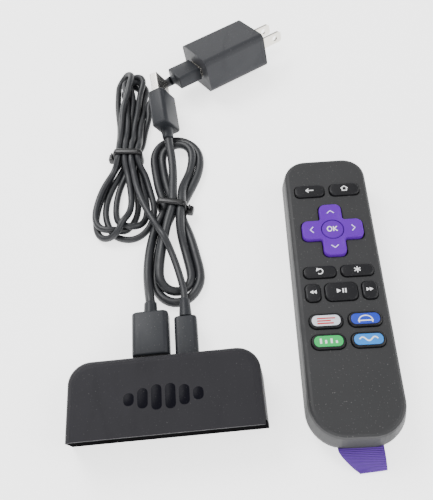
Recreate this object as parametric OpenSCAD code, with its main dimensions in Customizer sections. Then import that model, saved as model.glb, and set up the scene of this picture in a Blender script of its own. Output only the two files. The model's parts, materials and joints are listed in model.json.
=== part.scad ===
// Streaming media player kit: the player box with its video lead and power lead,
// the wall adapter on the power lead's far end, and the remote control beside it.
// Origin: centre of the player's foot face. X runs along the player's width,
// the player's front faces -Y, and +Z is up. Units are millimetres.

/* [Player] */
// Width of the player across its base
player_w = 86.4; // [78:0.2:100]
// Depth of the player from its front lip to the foot of its back
player_d = 37; // [35:0.5:46]
// Height of the player
player_h = 20; // [17:0.5:26]
// Radius of the player's two back corners, seen from above
corner_r = 10; // [6:0.5:13]
// Wall of the player's two shells
wall = 1.6; // [1.2:0.1:2]
// How far each side and the back lean out towards the foot
flare = 1.4; // [0.6:0.1:2]
// How far the foot of the front is set back behind its lip
front_rake = 4.2; // [2:0.1:6]
// Height of the seam between the top shell and the base tray
seam_z = 3; // [2.8:0.1:3.6]
// Thickness of the glossy front window
window_t = 2; // [1.4:0.1:2.4]
// Height of the circuit board's top face
board_z = 5.8; // [5.4:0.1:6.4]
// Place of the video socket across the back
hdmi_x = -6.2; // [-16:0.2:-4]
// Place of the power socket across the back
micro_x = 10; // [8:0.2:16]
// Travel of the reset button
reset_travel = 0.5; // [0.3:0.1:0.8]

/* [Leads] */
// Diameter of the video lead
hdmi_d = 4.6; // [4:0.1:4.7]
// Diameter of the power lead
usb_d = 3.5; // [2.8:0.1:3.8]
// Width of the video plug's grip
hdmi_grip_w = 17; // [16:0.2:18]
// Height of the video plug's grip
hdmi_grip_h = 10; // [9:0.2:11]
// Length of the video plug's grip
hdmi_grip_l = 22; // [20:0.5:24]
// Width of the small power plug's grip
micro_grip_w = 10.6; // [9.6:0.2:11]
// Height of the small power plug's grip
micro_grip_h = 7.2; // [6.4:0.2:7.6]
// Length of the small power plug's grip
micro_grip_l = 20.4; // [18:0.2:21]
// Width of the supply plug's grip
usb_grip_w = 15.4; // [14:0.2:16.4]
// Height of the supply plug's grip
usb_grip_h = 7.8; // [7:0.2:8.6]
// Length of the supply plug's grip
usb_grip_l = 14.2; // [13:0.2:15]
// Gap between each plug's grip and the face it plugs into
plug_gap = 1.2; // [0.6:0.1:1.6]

/* [Wall adapter] */
// Length of the adapter's body
adapter_l = 39; // [36:0.2:48]
// Width of the adapter's body
adapter_w = 30; // [25:0.2:34]
// Height of the adapter's body
adapter_h = 20.4; // [18:0.2:25]
// Wall of the adapter's case
adapter_wall = 1.8; // [1.4:0.1:2.4]
// Length of the blades outside the case
blade_l = 16; // [14:0.2:17]
// Distance between the blades' centres
blade_pitch = 12.7; // [12.4:0.1:13]

/* [Remote] */
// Width of the remote
remote_w = 42.7; // [40:0.1:52]
// Length of the remote
remote_l = 146; // [140:1:176]
// Height of the remote's face
remote_h = 18; // [17.5:0.1:22]
// Wall of the remote's cases
remote_wall = 1.7; // [1.4:0.1:1.9]
// Distance from the top end to the middle of the arrow pad
pad_from_top = 45.3; // [42:0.1:52]
// Span of the arrow pad, tip to tip
pad_span = 29; // [26:0.2:30]
// Width of each arm of the arrow pad
pad_arm = 10.7; // [9.6:0.1:12]
// Gap around every key
key_gap = 0.3; // [0.2:0.05:0.4]
// Travel of every key
key_travel = 0.8; // [0.5:0.1:0.9]
// Height of the keys above the face
key_rise = 1.3; // [1:0.1:1.8]
// Width of the battery door
door_w = 30; // [26:0.5:32]
// Gap around the battery door
door_gap = 0.2; // [0.15:0.05:0.3]
// Width of the fabric tag
tag_w = 19; // [15:0.5:22]
// Length of the tag outside the remote
tag_out = 9; // [6:0.5:14]

/* [Hidden] */
eps = 0.01;
touch = 0.05;        // clearance between pieces that lie on each other
slide_gap = 0.15;    // clearance of a plug's shell in its socket

// player, derived
front_y = -player_d/2;
back_y = player_d/2;
back_top_y = back_y - flare;
edge_r = 3.6;                            // rounding of the top edge
hdmi_z = board_z + 2.8;                  // axis of the video socket
micro_z = board_z + 1.45;                // axis of the power socket
board_t = 1.2;
board_w = player_w - 16;
board_front = front_y + front_rake + 4.4;
board_back = back_top_y - wall - 0.3;
post_r = 2.4;
screw_x = board_w/2 - 4;
screw_front = board_front + 4;
screw_back = board_back - 5;
lip_h = 1.5;                             // lip of the tray inside the top shell
hdmi_shell = [13.9, 4.45];
hdmi_reach = 11.5;
hdmi_socket_l = 11;
micro_shell = [6.85, 1.8];
micro_reach = 5.6;
usb_shell = [12, 4.5];
usb_reach = 11.6;
shell_t = 0.35;                          // sheet of every plug's metal shell
function wall_y(z) = back_y - flare*z/player_h;
hdmi_face_y = wall_y(hdmi_z) + plug_gap + 0.7;
micro_face_y = wall_y(micro_z) + plug_gap - 0.5;
spreader_z = board_z + 3.4;

// leads, derived and hand-placed
boot_l = 6.4;
hdmi_boot_r = 3.3;
micro_boot_l = 10;
micro_boot_r = 3.1;
far_tail = [5.6, 156.4, 10.6];           // cord end of the far video plug's grip
far_turn = [13, 66, 4.4];                // its nose-up tilt, roll and heading
hank_h = 4.5;                            // height of the video hank's loops
power_hank_h = 5.8;                      // height of the power hank's loops
hdmi_near_route = [[hdmi_x, hdmi_face_y + hdmi_grip_l + boot_l, hdmi_z], [-6.8, 52.5, 8.4],
    [-7.6, 58, 5.6], [-8.1, 64, 3.2], [-8.2, 70, 2.5], [-7.7, 76, 2.5], [-6.6, 82, 2.5],
    [-5, 88, 2.5], [-3, 94, 2.7], [-1, 100, 3.4], [0.8, 104, 4]];
hdmi_far_route = [[6.1, 150.8, 9.05], [6.4, 146.5, 8.1], [6.9, 140, 7.3], [7.4, 132, 7.2],
    [7.5, 124, 7.2], [7, 117, 7.2], [6.6, 112, 7.2]];
power_route = [[micro_x, micro_face_y + micro_grip_l + micro_boot_l, micro_z], [9.8, 53, 7.1],
    [9.2, 58, 7], [8, 65, 6.9], [6.4, 72, 6.9], [4.2, 79, 6.9], [1.4, 86, 6.9], [-1.8, 93, 7.1],
    [-5.2, 99.5, 7.4], [-8, 106, 7.4], [-10.4, 113, 7.4], [-12.2, 120, 7.4], [-13.6, 128, 7.3],
    [-14.6, 135, 7], [-15.2, 142, 6.5]];
tie_t = 1.1;                             // thickness of a cable tie's band
tie_w = 2.6;
hdmi_waist = [14.4, 13, 9];              // bundle inside the video lead's tie
hdmi_waist_at = [6.2, 105.4, tie_t + 0.1];
hdmi_waist_turn = -15;
power_waist = [14.2, 13, 9.6];             // bundle inside the power lead's tie
power_waist_at = [-16.8, 142.4, tie_t + 0.1];
power_waist_turn = -8;

// adapter, derived and hand-placed: it lies rolled onto its back long edge
adapter_turn = [-14, 26.8];              // roll, then heading
adapter_lift = adapter_w/2*sin(-adapter_turn[0]) + adapter_h/2*cos(adapter_turn[0]);
adapter_at = [25.5, 199, adapter_lift];  // middle of its socket face
adapter_axis = [cos(adapter_turn[1]), sin(adapter_turn[1]), 0];
usb_boot_l = 2.2;
usb_boot_r = 3;
supply_start = adapter_at - (plug_gap - 0.2 + usb_grip_l + usb_boot_l)*adapter_axis;
supply_route = [supply_start, [8.6, 191.3, 12.6], [6.9, 191.9, 11.1], [4.9, 192, 9.5], [2.6, 191.2, 8],
    [0.2, 189.6, 6.7], [-2.2, 187.2, 5.5], [-4.4, 184.2, 4.4], [-6.2, 180.4, 3.4], [-7.6, 175.6, 2.5],
    [-8.6, 169.6, 1.8], [-9.6, 162, 1.8], [-10.6, 155, 2.2], [-12, 149, 3]];
cap_t = 2.6;
blade = [1.5, 6.3];
blade_hole_r = 1.6;
blade_root = 8;

// remote, derived and hand-placed
remote_at = [83.9, 72.5];
remote_turn = -2.8;
top_end = pad_from_top;
low_end = pad_from_top - remote_l;
part_z = 8.4;                            // seam between the two cases
top_r = 12;
low_r = 16;
side_flare = 1;                          // how far the face is inset from the seam
shoulder_r = 2.4;
belly_in = 5;                            // how far the back is inset from the seam
remote_board_t = 1;
window_low = seam_z + 0.1;                  // foot of the smoked front window
window_top = player_h - wall - 0.4;         // top of the smoked front window
can = [22, 12, 2.3];                        // shield can
can_at = [-16, -2.5];                       // middle of the shield can on the board
reset_x = 26;                               // reset button's place along the back
reset_z = board_z + 2.2;                    // reset button's height
reset_r = 1.4;                              // reset button's radius
switch_y = back_top_y - wall - 5.6;         // face of the reset switch
adapter_board_z = -adapter_h/2 + adapter_wall + 2;// adapter board's underside from the adapter's middle
door_top = -28;                             // upper edge of the battery door
tag_z = 5.2;                                // middle of the ribbon tag where it leaves the door
grip_root = 4;                           // how deep each metal shell sits in its grip
remote_board_z = remote_h - remote_wall - 3.6;
membrane_z = remote_board_z + remote_board_t + touch;
membrane_t = 0.5;
key_z = membrane_z + membrane_t + key_travel + 0.1;
flange_t = 0.6;
flange_out = 0.9;
pad_rise = 1.8;
pad_floor = 0.6;
pad_z = membrane_z + membrane_t + 0.75;
pad_hole_gap = 0.6;
pad_tilt_r = 1.4;
ok_r = 5.2;
battery_r = 5.2;
battery_l = 44.5;
battery_y = -68;
battery_z = remote_wall + 0.15 + battery_r;
col = 8.6;                               // half the spacing of the paired keys
media_col = 12.8;
row_nav = 23.9;
row_replay = -22.9;
row_media = -33.5;
row_app1 = -47.9;
row_app2 = -57.8;
nav_key = [14.6, 7.2, 2.4];              // width, height and corner radius of a key
replay_key = [15, 6.2, 2.4];
skip_key = [6.8, 9.2, 2.4];
play_key = [14.8, 9.4, 2.8];
app_key = [14.8, 7.2, 3.2];
KEYS = [["back_key", -col, row_nav, nav_key], ["home_key", col, row_nav, nav_key],
    ["replay_key", -col, row_replay, replay_key], ["options_key", col, row_replay, replay_key],
    ["rewind_key", -media_col, row_media, skip_key], ["play_pause_key", 0, row_media, play_key],
    ["fast_forward_key", media_col, row_media, skip_key],
    ["app_key_1", -col, row_app1, app_key], ["app_key_2", col, row_app1, app_key],
    ["app_key_3", -col, row_app2, app_key], ["app_key_4", col, row_app2, app_key]];

// ---- shared shapes ----

// Rounded rectangle made of true arcs
module rrect(w, h, r) {
    square([w - 2*r, h], center = true);
    square([w, h - 2*r], center = true);
    for (x = [-1, 1], y = [-1, 1])
        translate([x*(w/2 - r), y*(h/2 - r)])
            circle(r = r, $fn = 32);
}

// Block along +Y whose XZ section is a rounded rectangle
module bar_y(w, h, r, l) {
    translate([0, l, 0])
        rotate([90, 0, 0])
            linear_extrude(l)
                rrect(w, h, r);
}

// Metal plug shell: an open tube from y = -reach to the grip at y = root
module plug_shell(size, reach, root) {
    translate([0, -reach, 0])
        difference() {
            bar_y(size[0], size[1], 0.5, reach + root);
            translate([0, -eps, 0])
                bar_y(size[0] - 2*shell_t, size[1] - 2*shell_t, 0.3, reach - 1);
        }
}

// Socket that a plug shell slides into, its mouth at y = 0 and its body towards -Y
module plug_socket(size, depth, sheet, tongue) {
    translate([0, -depth - 1, 0])
        difference() {
            bar_y(size[0] + 2*slide_gap + 2*sheet, size[1] + 2*slide_gap + 2*sheet, 0.6, depth + 1);
            translate([0, 1, 0])
                bar_y(size[0] + 2*slide_gap, size[1] + 2*slide_gap, 0.5, depth + 1);
        }
    translate([0, -depth - eps, 0])
        bar_y(tongue[0], tongue[1], tongue[1]/2 - 0.05, tongue[2]);
}

// Plug grip along +Y from its face at y = 0, with a round boot at its cord end
module plug_grip(w, h, r, l, boot_a, boot_b, boot_len, shell_size, root) {
    difference() {
        bar_y(w, h, r, l);
        translate([0, -eps, 0])
            bar_y(shell_size[0] + 2*touch, shell_size[1] + 2*touch, 0.5, root + touch + eps);
    }
    translate([0, l - eps, 0])
        rotate([-90, 0, 0])
            cylinder(r1 = boot_a, r2 = boot_b, h = boot_len + eps, $fn = 32);
}

function unit(v) = v/norm(v);
function heading(p, i) = unit(p[min(i + 1, len(p) - 1)] - p[max(i - 1, 0)]);
function side_of(t) = unit(cross(t, [0, 0, 1]));
// Ring of points round route point i
function ring(p, i, r, n) =
    let (t = heading(p, i), s = side_of(t), u = cross(s, t))
    [for (k = [0:n - 1]) p[i] + r*(cos(360*k/n)*s + sin(360*k/n)*u)];

// Tube swept along a route, its radius going from ra to rb
module sweep_tube(p, ra, rb, n) {
    m = len(p);
    pts = [for (i = [0:m - 1]) each ring(p, i, ra + (rb - ra)*i/(m - 1), n)];
    sides = [for (i = [0:m - 2], k = [0:n - 1])
        [i*n + k, i*n + (k + 1)%n, (i + 1)*n + (k + 1)%n, (i + 1)*n + k]];
    first = [[for (k = [0:n - 1]) n - 1 - k]];
    last = [[for (k = [0:n - 1]) (m - 1)*n + k]];
    polyhedron(points = pts, faces = concat(sides, first, last), convexity = 6);
}

// Flat loop of a hank: an outline with round ends
module loop_outline(p, ra, q, rb) {
    hull() {
        translate(p)
            circle(r = ra, $fn = 32);
        translate(q)
            circle(r = rb, $fn = 32);
    }
}

// ---- the player ----

// Player's outer form between two heights, shrunk by inset
module player_form(z0, z1, inset) {
    hull()
        for (s = [[z0, 0], [z1 - edge_r, 0], [z1 - edge_r*0.62, edge_r*0.08], [z1 - edge_r*0.29, edge_r*0.29],
                  [z1 - edge_r*0.08, edge_r*0.62], [z1, edge_r]])
            let (lean = flare*s[0]/player_h, hw = player_w/2 - lean - inset - s[1],
                 yb = back_y - lean - inset - s[1], yf = front_y + front_rake*(1 - s[0]/player_h) + inset,
                 r = corner_r - inset - s[1]*0.5) {
                translate([-hw, yf, s[0] - eps])
                    cube([2*hw, 2, eps]);
                for (x = [-1, 1])
                    translate([x*(hw - r), yb - r, s[0] - eps])
                        cylinder(r = r, h = eps, $fn = 48);
            }
}

// Everything in front of the plane that lies depth behind the raked front face
module front_zone(depth, z0, z1) {
    rotate([90, 0, 90])
        translate([0, 0, -player_w])
            linear_extrude(2*player_w)
                polygon([[front_y - 20, z0], [front_y + front_rake*(1 - z0/player_h) + depth, z0],
                         [front_y + front_rake*(1 - z1/player_h) + depth, z1], [front_y - 20, z1]]);
}

module top_shell() {
    color([0.13, 0.13, 0.14])
    difference() {
        player_form(seam_z, player_h, 0);
        player_form(seam_z - 1, player_h - wall, wall);
        front_zone(window_t + 0.1, seam_z - 1, window_top + 0.1);
        translate([hdmi_x, back_y - 6, hdmi_z])
            bar_y(hdmi_shell[0] + 2*slide_gap + 1.1, hdmi_shell[1] + 2*slide_gap + 1.1, 1, 10);
        translate([micro_x, back_y - 6, micro_z])
            bar_y(micro_shell[0] + 2*slide_gap + 1, micro_shell[1] + 2*slide_gap + 1, 0.8, 10);
        translate([reset_x, back_y + 4, reset_z])
            rotate([90, 0, 0])
                cylinder(r = reset_r + 0.2, h = 12, $fn = 32);
    }
}

module base_tray() {
    color([0.11, 0.11, 0.12]) {
        difference() {
            union() {
                player_form_slab(0, seam_z - 0.05, 0);
                player_form_slab(seam_z - 0.1, seam_z + lip_h, wall + 0.12);
            }
            player_form_slab(wall, seam_z + lip_h + 1, wall + 0.12 + 1);
            front_zone(window_t + 0.2, window_low - 0.1, seam_z + 4);
        }
        for (x = [-screw_x, screw_x], y = [screw_front, screw_back])
            translate([x, y, wall - eps])
                difference() {
                    cylinder(r = post_r, h = board_z - board_t - wall - touch, $fn = 32);
                    translate([0, 0, 0.4])
                        cylinder(r = 1, h = 10, $fn = 24);
                }
    }
}

// Straight slab of the player's outline between two heights
module player_form_slab(z0, z1, inset) {
    hull()
        for (z = [z0 + eps, z1])
            let (lean = flare*z/player_h, hw = player_w/2 - lean - inset, yb = back_y - lean - inset,
                 yf = front_y + front_rake*(1 - z/player_h) + inset, r = corner_r - inset) {
                translate([-hw, yf, z - eps])
                    cube([2*hw, 2, eps]);
                for (x = [-1, 1])
                    translate([x*(hw - r), yb - r, z - eps])
                        cylinder(r = r, h = eps, $fn = 48);
            }
}

module front_window() {
    color([0.02, 0.02, 0.025])
    intersection() {
        player_form(window_low, player_h, 0.05);
        front_zone(window_t, window_low, window_top);
    }
}

module main_board() {
    color([0.05, 0.25, 0.13])
    translate([0, 0, board_z - board_t])
        difference() {
            translate([0, (board_front + board_back)/2, 0])
                linear_extrude(board_t)
                    rrect(board_w, board_back - board_front, 3);
            for (x = [-screw_x, screw_x], y = [screw_front, screw_back])
                translate([x, y, -1])
                    cylinder(r = 1.15, h = 5, $fn = 24);
        }
}

module shield_can() {
    color([0.75, 0.75, 0.77])
    translate([can_at[0], can_at[1], board_z + touch])
        difference() {
            linear_extrude(can[2])
                rrect(can[0], can[1], 0.6);
            translate([0, 0, -1])
                linear_extrude(can[2] + 1 - 0.3)
                    rrect(can[0] - 0.6, can[1] - 0.6, 0.4);
        }
}

module thermal_pad() {
    color([0.6, 0.65, 0.8])
    translate([can_at[0], can_at[1], board_z + can[2] + 2*touch])
        linear_extrude(spreader_z - board_z - can[2] - 3*touch)
            rrect(14, 10, 0.5);
}

module heat_spreader() {
    color([0.8, 0.8, 0.82])
    translate([can_at[0] - 6, can_at[1], spreader_z])
        linear_extrude(1.2)
            rrect(34, 13, 1);
}

module hdmi_socket() {
    color([0.7, 0.7, 0.72])
    translate([hdmi_x, wall_y(hdmi_z) - 0.4, hdmi_z])
        plug_socket(hdmi_shell, hdmi_socket_l - 1, 0.35, [11, 1.5, 5]);
}

module power_socket() {
    color([0.7, 0.7, 0.72])
    translate([micro_x, wall_y(micro_z) - 0.4, micro_z])
        plug_socket(micro_shell, 5.6, 0.3, [3.6, 0.5, 3]);
}

module reset_switch() {
    color([0.1, 0.1, 0.1])
    translate([reset_x, switch_y - 2, board_z + touch])
        linear_extrude(3.6)
            rrect(6, 4, 0.4);
}

module reset_button() {
    color([0.06, 0.06, 0.06])
    translate([reset_x, switch_y + 0.1 + reset_travel, reset_z])
        rotate([-90, 0, 0]) {
            cylinder(r = reset_r, h = wall_y(reset_z) + 0.3 - switch_y - 0.1 - reset_travel, $fn = 32);
            translate([0, 0, wall_y(reset_z) - wall - 1 - switch_y - 0.1 - reset_travel])
                cylinder(r = reset_r + 0.6, h = 0.8, $fn = 32);
        }
}

module ir_receiver() {
    color([0.08, 0.06, 0.08])
    translate([0, board_front + 2.2, board_z + touch]) {
        linear_extrude(6)
            rrect(6, 3, 0.4);
        translate([0, -1.4, 3.4])
            rotate([90, 0, 0])
                cylinder(r = 1.8, h = 1, $fn = 32);
    }
}

module status_led() {
    color([0.9, 0.9, 0.85])
    translate([screw_x - 8, board_front + 1.6, board_z + touch])
        linear_extrude(1)
            rrect(3, 1.5, 0.2);
}

module board_screws() {
    color([0.6, 0.6, 0.62])
    for (x = [-screw_x, screw_x], y = [screw_front, screw_back])
        translate([x, y, 0]) {
            translate([0, 0, board_z + touch])
                cylinder(r = 1.9, h = 1.1, $fn = 24);
            translate([0, 0, wall + 0.8])
                cylinder(r = 0.95, h = board_z + touch - wall - 0.8 + eps, $fn = 24);
        }
}

// ---- the video lead ----

module hdmi_grip_body() {
    plug_grip(hdmi_grip_w, hdmi_grip_h, 2.6, hdmi_grip_l, hdmi_boot_r, hdmi_boot_r - 0.3, boot_l,
              hdmi_shell, grip_root);
}

module at_near_plug() {
    translate([hdmi_x, hdmi_face_y, hdmi_z])
        children();
}

module at_far_plug() {
    translate(far_tail)
        rotate([0, 0, far_turn[2]])
            rotate([far_turn[0], 0, 0])
                rotate([0, far_turn[1], 0])
                    rotate([0, 0, 180])
                        translate([0, -hdmi_grip_l, 0])
                            children();
}

module hdmi_plug_shell() {
    color([0.8, 0.8, 0.8])
    at_near_plug()
        plug_shell(hdmi_shell, hdmi_reach, grip_root);
}

module hdmi_plug_grip() {
    color([0.12, 0.12, 0.13])
    at_near_plug()
        hdmi_grip_body();
}

module hdmi_near_lead() {
    color([0.14, 0.14, 0.15])
    sweep_tube(hdmi_near_route, hdmi_d/2, hdmi_d/2, 10);
}

module waist(size, at, turn) {
    translate(at)
        rotate([0, 0, turn])
            translate([-size[0]/2, -size[1]/2, 0])
                cube(size);
}

module hdmi_hank() {
    color([0.14, 0.14, 0.15]) {
        linear_extrude(hank_h) {
            loop_outline([10, 141.2], 14.9, [6.6, 116.5], 4.5);
            loop_outline([7.2, 61.2], 12.9, [6.4, 98], 4.5);
        }
        waist(hdmi_waist, hdmi_waist_at, hdmi_waist_turn);
    }
}

module hdmi_far_lead() {
    color([0.14, 0.14, 0.15])
    sweep_tube(hdmi_far_route, hdmi_d/2, hdmi_d/2, 10);
}

module hdmi_far_grip() {
    color([0.12, 0.12, 0.13])
    at_far_plug()
        hdmi_grip_body();
}

module hdmi_far_shell() {
    color([0.8, 0.8, 0.8])
    at_far_plug()
        plug_shell(hdmi_shell, hdmi_reach, grip_root);
}

// Cable tie: a flat band round a bundle, with its lock head on one side
module cable_tie(size, at, turn, head_side) {
    translate([at[0], at[1], 0])
        rotate([0, 0, turn]) {
            difference() {
                translate([-size[0]/2 - 0.1 - tie_t, -tie_w/2, 0])
                    cube([size[0] + 0.2 + 2*tie_t, tie_w, size[2] + 0.3 + 2*tie_t]);
                translate([-size[0]/2 - 0.1, -tie_w, tie_t])
                    cube([size[0] + 0.2, 2*tie_w, size[2] + 0.3]);
            }
            translate([head_side*(size[0]/2 + 0.1 + tie_t + 1.9) - 2, -2.4, 2])
                cube([4, 4.8, 5]);
        }
}

module hdmi_tie() {
    color([0.05, 0.05, 0.05])
    cable_tie(hdmi_waist, hdmi_waist_at, hdmi_waist_turn, 1);
}

// ---- the power lead ----

module at_power_plug() {
    translate([micro_x, micro_face_y, micro_z])
        children();
}

module power_plug_shell() {
    color([0.8, 0.8, 0.8])
    at_power_plug()
        plug_shell(micro_shell, micro_reach, grip_root);
}

module power_plug_grip() {
    color([0.12, 0.12, 0.13])
    at_power_plug()
        plug_grip(micro_grip_w, micro_grip_h, 1.2, micro_grip_l, micro_boot_r, micro_boot_r - 0.7,
                  micro_boot_l, micro_shell, grip_root);
}

module power_lead() {
    color([0.14, 0.14, 0.15])
    sweep_tube(power_route, usb_d/2, usb_d/2, 8);
}

module power_hank() {
    color([0.14, 0.14, 0.15]) {
        linear_extrude(power_hank_h) {
            loop_outline([-16.9, 202.3], 8, [-18, 153.5], 5.2);
            loop_outline([-20.2, 105], 17.2, [-17, 134.5], 5.2);
        }
        waist(power_waist, power_waist_at, power_waist_turn);
    }
}

module supply_lead() {
    color([0.14, 0.14, 0.15])
    sweep_tube(supply_route, usb_d/2, usb_d/2, 8);
}

// Middle of the adapter's socket face, X along the adapter towards its blades
module at_adapter() {
    translate(adapter_at)
        rotate([0, 0, adapter_turn[1]])
            rotate([adapter_turn[0], 0, 0])
                children();
}

module supply_plug_grip() {
    color([0.12, 0.12, 0.13])
    at_adapter()
        rotate([0, 0, 90])
            translate([0, plug_gap - 0.2, 0])
                plug_grip(usb_grip_w, usb_grip_h, 1.2, usb_grip_l, usb_boot_r, usb_boot_r - 0.5,
                          usb_boot_l, usb_shell, grip_root);
}

module supply_plug_shell() {
    color([0.8, 0.8, 0.8])
    at_adapter()
        rotate([0, 0, 90])
            translate([0, plug_gap - 0.2, 0])
                plug_shell(usb_shell, usb_reach, grip_root);
}

module power_tie() {
    color([0.05, 0.05, 0.05])
    cable_tie(power_waist, power_waist_at, power_waist_turn, -1);
}

// ---- the wall adapter ----

// Rounded block of the adapter from x0 to x1, shrunk by inset
module adapter_block(x0, x1, inset) {
    translate([x0, 0, 0])
        rotate([90, 0, 90])
            linear_extrude(x1 - x0)
                rrect(adapter_w - 2*inset, adapter_h - 2*inset, 3.4 - inset*0.8);
}

module adapter_case() {
    color([0.13, 0.13, 0.14])
    at_adapter()
        difference() {
            adapter_block(0, adapter_l - cap_t, 0);
            adapter_block(adapter_wall, adapter_l, adapter_wall);
            rotate([0, 0, 90])
                translate([0, -4, 0])
                    bar_y(usb_shell[0] + 2*slide_gap + 1, usb_shell[1] + 2*slide_gap + 1, 0.6, 8);
        }
}

module adapter_end_cap() {
    color([0.13, 0.13, 0.14])
    at_adapter()
        difference() {
            union() {
                adapter_block(adapter_l - cap_t + touch, adapter_l, 0);
                adapter_block(adapter_l - cap_t - 1.5, adapter_l - cap_t + 2*touch, adapter_wall + 0.1);
            }
            for (s = [-1, 1])
                translate([adapter_l - 6, s*blade_pitch/2 - blade[0]/2 - touch, -blade[1]/2 - touch])
                    cube([12, blade[0] + 2*touch, blade[1] + 2*touch]);
        }
}

module adapter_blades() {
    color([0.82, 0.8, 0.75])
    at_adapter()
        for (s = [-1, 1])
            translate([0, s*blade_pitch/2 + blade[0]/2, 0])
                rotate([90, 0, 0])
                    linear_extrude(blade[0])
                        difference() {
                            union() {
                                translate([adapter_l - blade_root, -blade[1]/2])
                                    square([blade_root + blade_l - 1.6, blade[1]]);
                                translate([adapter_l + blade_l - 1.6 - eps, -blade[1]/2 + 1.2])
                                    square([1.6, blade[1] - 2.4]);
                                for (v = [-1, 1])
                                    translate([adapter_l + blade_l - 1.6, v*(blade[1]/2 - 1.2)])
                                        circle(r = 1.2, $fn = 24);
                            }
                            translate([adapter_l + blade_l - 4.4, 0])
                                circle(r = blade_hole_r, $fn = 32);
                        }
}

module adapter_socket() {
    color([0.7, 0.7, 0.72])
    at_adapter()
        rotate([0, 0, 90])
            translate([0, -0.3, 0])
                plug_socket(usb_shell, 12.4, 0.4, [11, 1.8, 9.6]);
}

module adapter_board() {
    color([0.35, 0.25, 0.1])
    at_adapter()
        translate([adapter_wall + 1, -adapter_w/2 + adapter_wall + 1, adapter_board_z])
            cube([adapter_l - cap_t - adapter_wall - 3.5, adapter_w - 2*adapter_wall - 2, 1.2]);
}

module adapter_transformer() {
    color([0.75, 0.65, 0.2])
    at_adapter()
        translate([16, -6.2, adapter_board_z + 1.2 + touch])
            cube([11, 12.4, 9.6]);
}

module adapter_capacitors() {
    color([0.1, 0.1, 0.3])
    at_adapter()
        for (y = [-8.8, 8.8])
            translate([adapter_l - cap_t - 10, y*0.97, adapter_board_z + 1.2 + touch])
                cylinder(r = 2.1, h = 8, $fn = 32);
}

// ---- the remote ----

module at_remote() {
    translate([remote_at[0], remote_at[1], 0])
        rotate([0, 0, remote_turn])
            children();
}

// Remote's form through a list of [z, inset] slices
module remote_form(slices, shrink) {
    hull()
        for (s = slices, x = [-1, 1])
            let (i = s[1] + shrink) {
                translate([x*(remote_w/2 - top_r), top_end - top_r, s[0] - eps])
                    cylinder(r = top_r - i, h = eps, $fn = 40);
                translate([x*(remote_w/2 - low_r), low_end + low_r, s[0] - eps])
                    cylinder(r = low_r - i, h = eps, $fn = 40);
            }
}

function top_slices(z0, z1) = [[z0, 0], [z1 - shoulder_r, side_flare],
    [z1 - shoulder_r*0.4, side_flare + shoulder_r*0.2], [z1 - shoulder_r*0.1, side_flare + shoulder_r*0.56],
    [z1, side_flare + shoulder_r]];
function low_slices(z0, z1) = [[z0, belly_in], [z0 + 1, belly_in*0.62], [z0 + 3, belly_in*0.25],
    [z0 + 5.5, belly_in*0.04], [z1, 0]];

// Cut for a key: its outline plus the gap, and the pocket of its flange below the face
module key_cut(w, h, r, gap) {
    linear_extrude(40)
        rrect(w + 2*gap, h + 2*gap, r + gap);
}

module pad_outline(grow) {
    for (a = [0, 90])
        rotate(a)
            rrect(pad_span + 2*grow, pad_arm + 2*grow, 2.4 + grow);
}

module remote_top_case() {
    color([0.2, 0.2, 0.21])
    at_remote()
        difference() {
            remote_form(top_slices(part_z + touch, remote_h), 0);
            remote_form(top_slices(part_z - 1, remote_h - remote_wall), remote_wall);
            for (k = KEYS)
                translate([k[1], k[2], part_z])
                    key_cut(k[3][0], k[3][1], k[3][2], key_gap);
            translate([0, 0, part_z])
                linear_extrude(40)
                    pad_outline(pad_hole_gap);
            translate([0, top_end - 10, part_z + 3.4])
                rotate([-90, 0, 0])
                    cylinder(r = 1.7, h = 20, $fn = 32);
        }
}

module remote_bottom_case() {
    color([0.16, 0.16, 0.17])
    at_remote()
        difference() {
            remote_form(low_slices(eps, part_z), 0);
            remote_form(low_slices(remote_wall, part_z + 1), remote_wall);
            translate([-door_w/2 - door_gap, low_end - 5, -1])
                cube([door_w + 2*door_gap, door_top + door_gap - low_end + 5, part_z - 0.9 + 1 + door_gap]);
        }
}

module battery_door() {
    color([0.16, 0.16, 0.17])
    at_remote()
        difference() {
            intersection() {
                remote_form(low_slices(eps, part_z), 0);
                translate([-door_w/2, low_end - 5, -1])
                    cube([door_w, door_top - low_end + 5, part_z - 0.9 + 1]);
            }
            remote_form(low_slices(remote_wall, part_z + 1), remote_wall);
            translate([-tag_w/2 - 0.2, low_end - 5, tag_z - 0.7 - touch])
                cube([tag_w + 0.4, 12, 1.4 + 2*touch]);
        }
}

module remote_tag() {
    color([0.35, 0.12, 0.7])
    at_remote()
        translate([-tag_w/2 + 1.8, 0, 0])
            rotate([90, 0, 90])
                linear_extrude(tag_w - 1.8)
                    polygon([[low_end + 5, tag_z - 0.65], [low_end - 0.5, tag_z - 0.65],
                             [low_end - tag_out, 0.3], [low_end - tag_out, 1.6],
                             [low_end - 0.3, tag_z + 0.65], [low_end + 5, tag_z + 0.65]]);
}

module remote_board() {
    color([0.05, 0.25, 0.13])
    at_remote()
        translate([0, (top_end - 5 + row_app2 - 8)/2, remote_board_z])
            linear_extrude(remote_board_t)
                rrect(35, top_end - 5 - row_app2 + 8, 4);
}

module key_membrane() {
    color([0.25, 0.25, 0.27])
    at_remote()
        translate([0, (row_nav + 5 + row_app2 - 6)/2, membrane_z])
            linear_extrude(membrane_t)
                rrect(34, row_nav + 5 - row_app2 + 6, 4);
}

module remote_ir_led() {
    color([0.3, 0.2, 0.35])
    at_remote()
        translate([0, top_end - 4.4, part_z + 3.4 - 0.6])
            rotate([-90, 0, 0])
                cylinder(r = 1, h = 3.2, $fn = 24);
}

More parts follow.
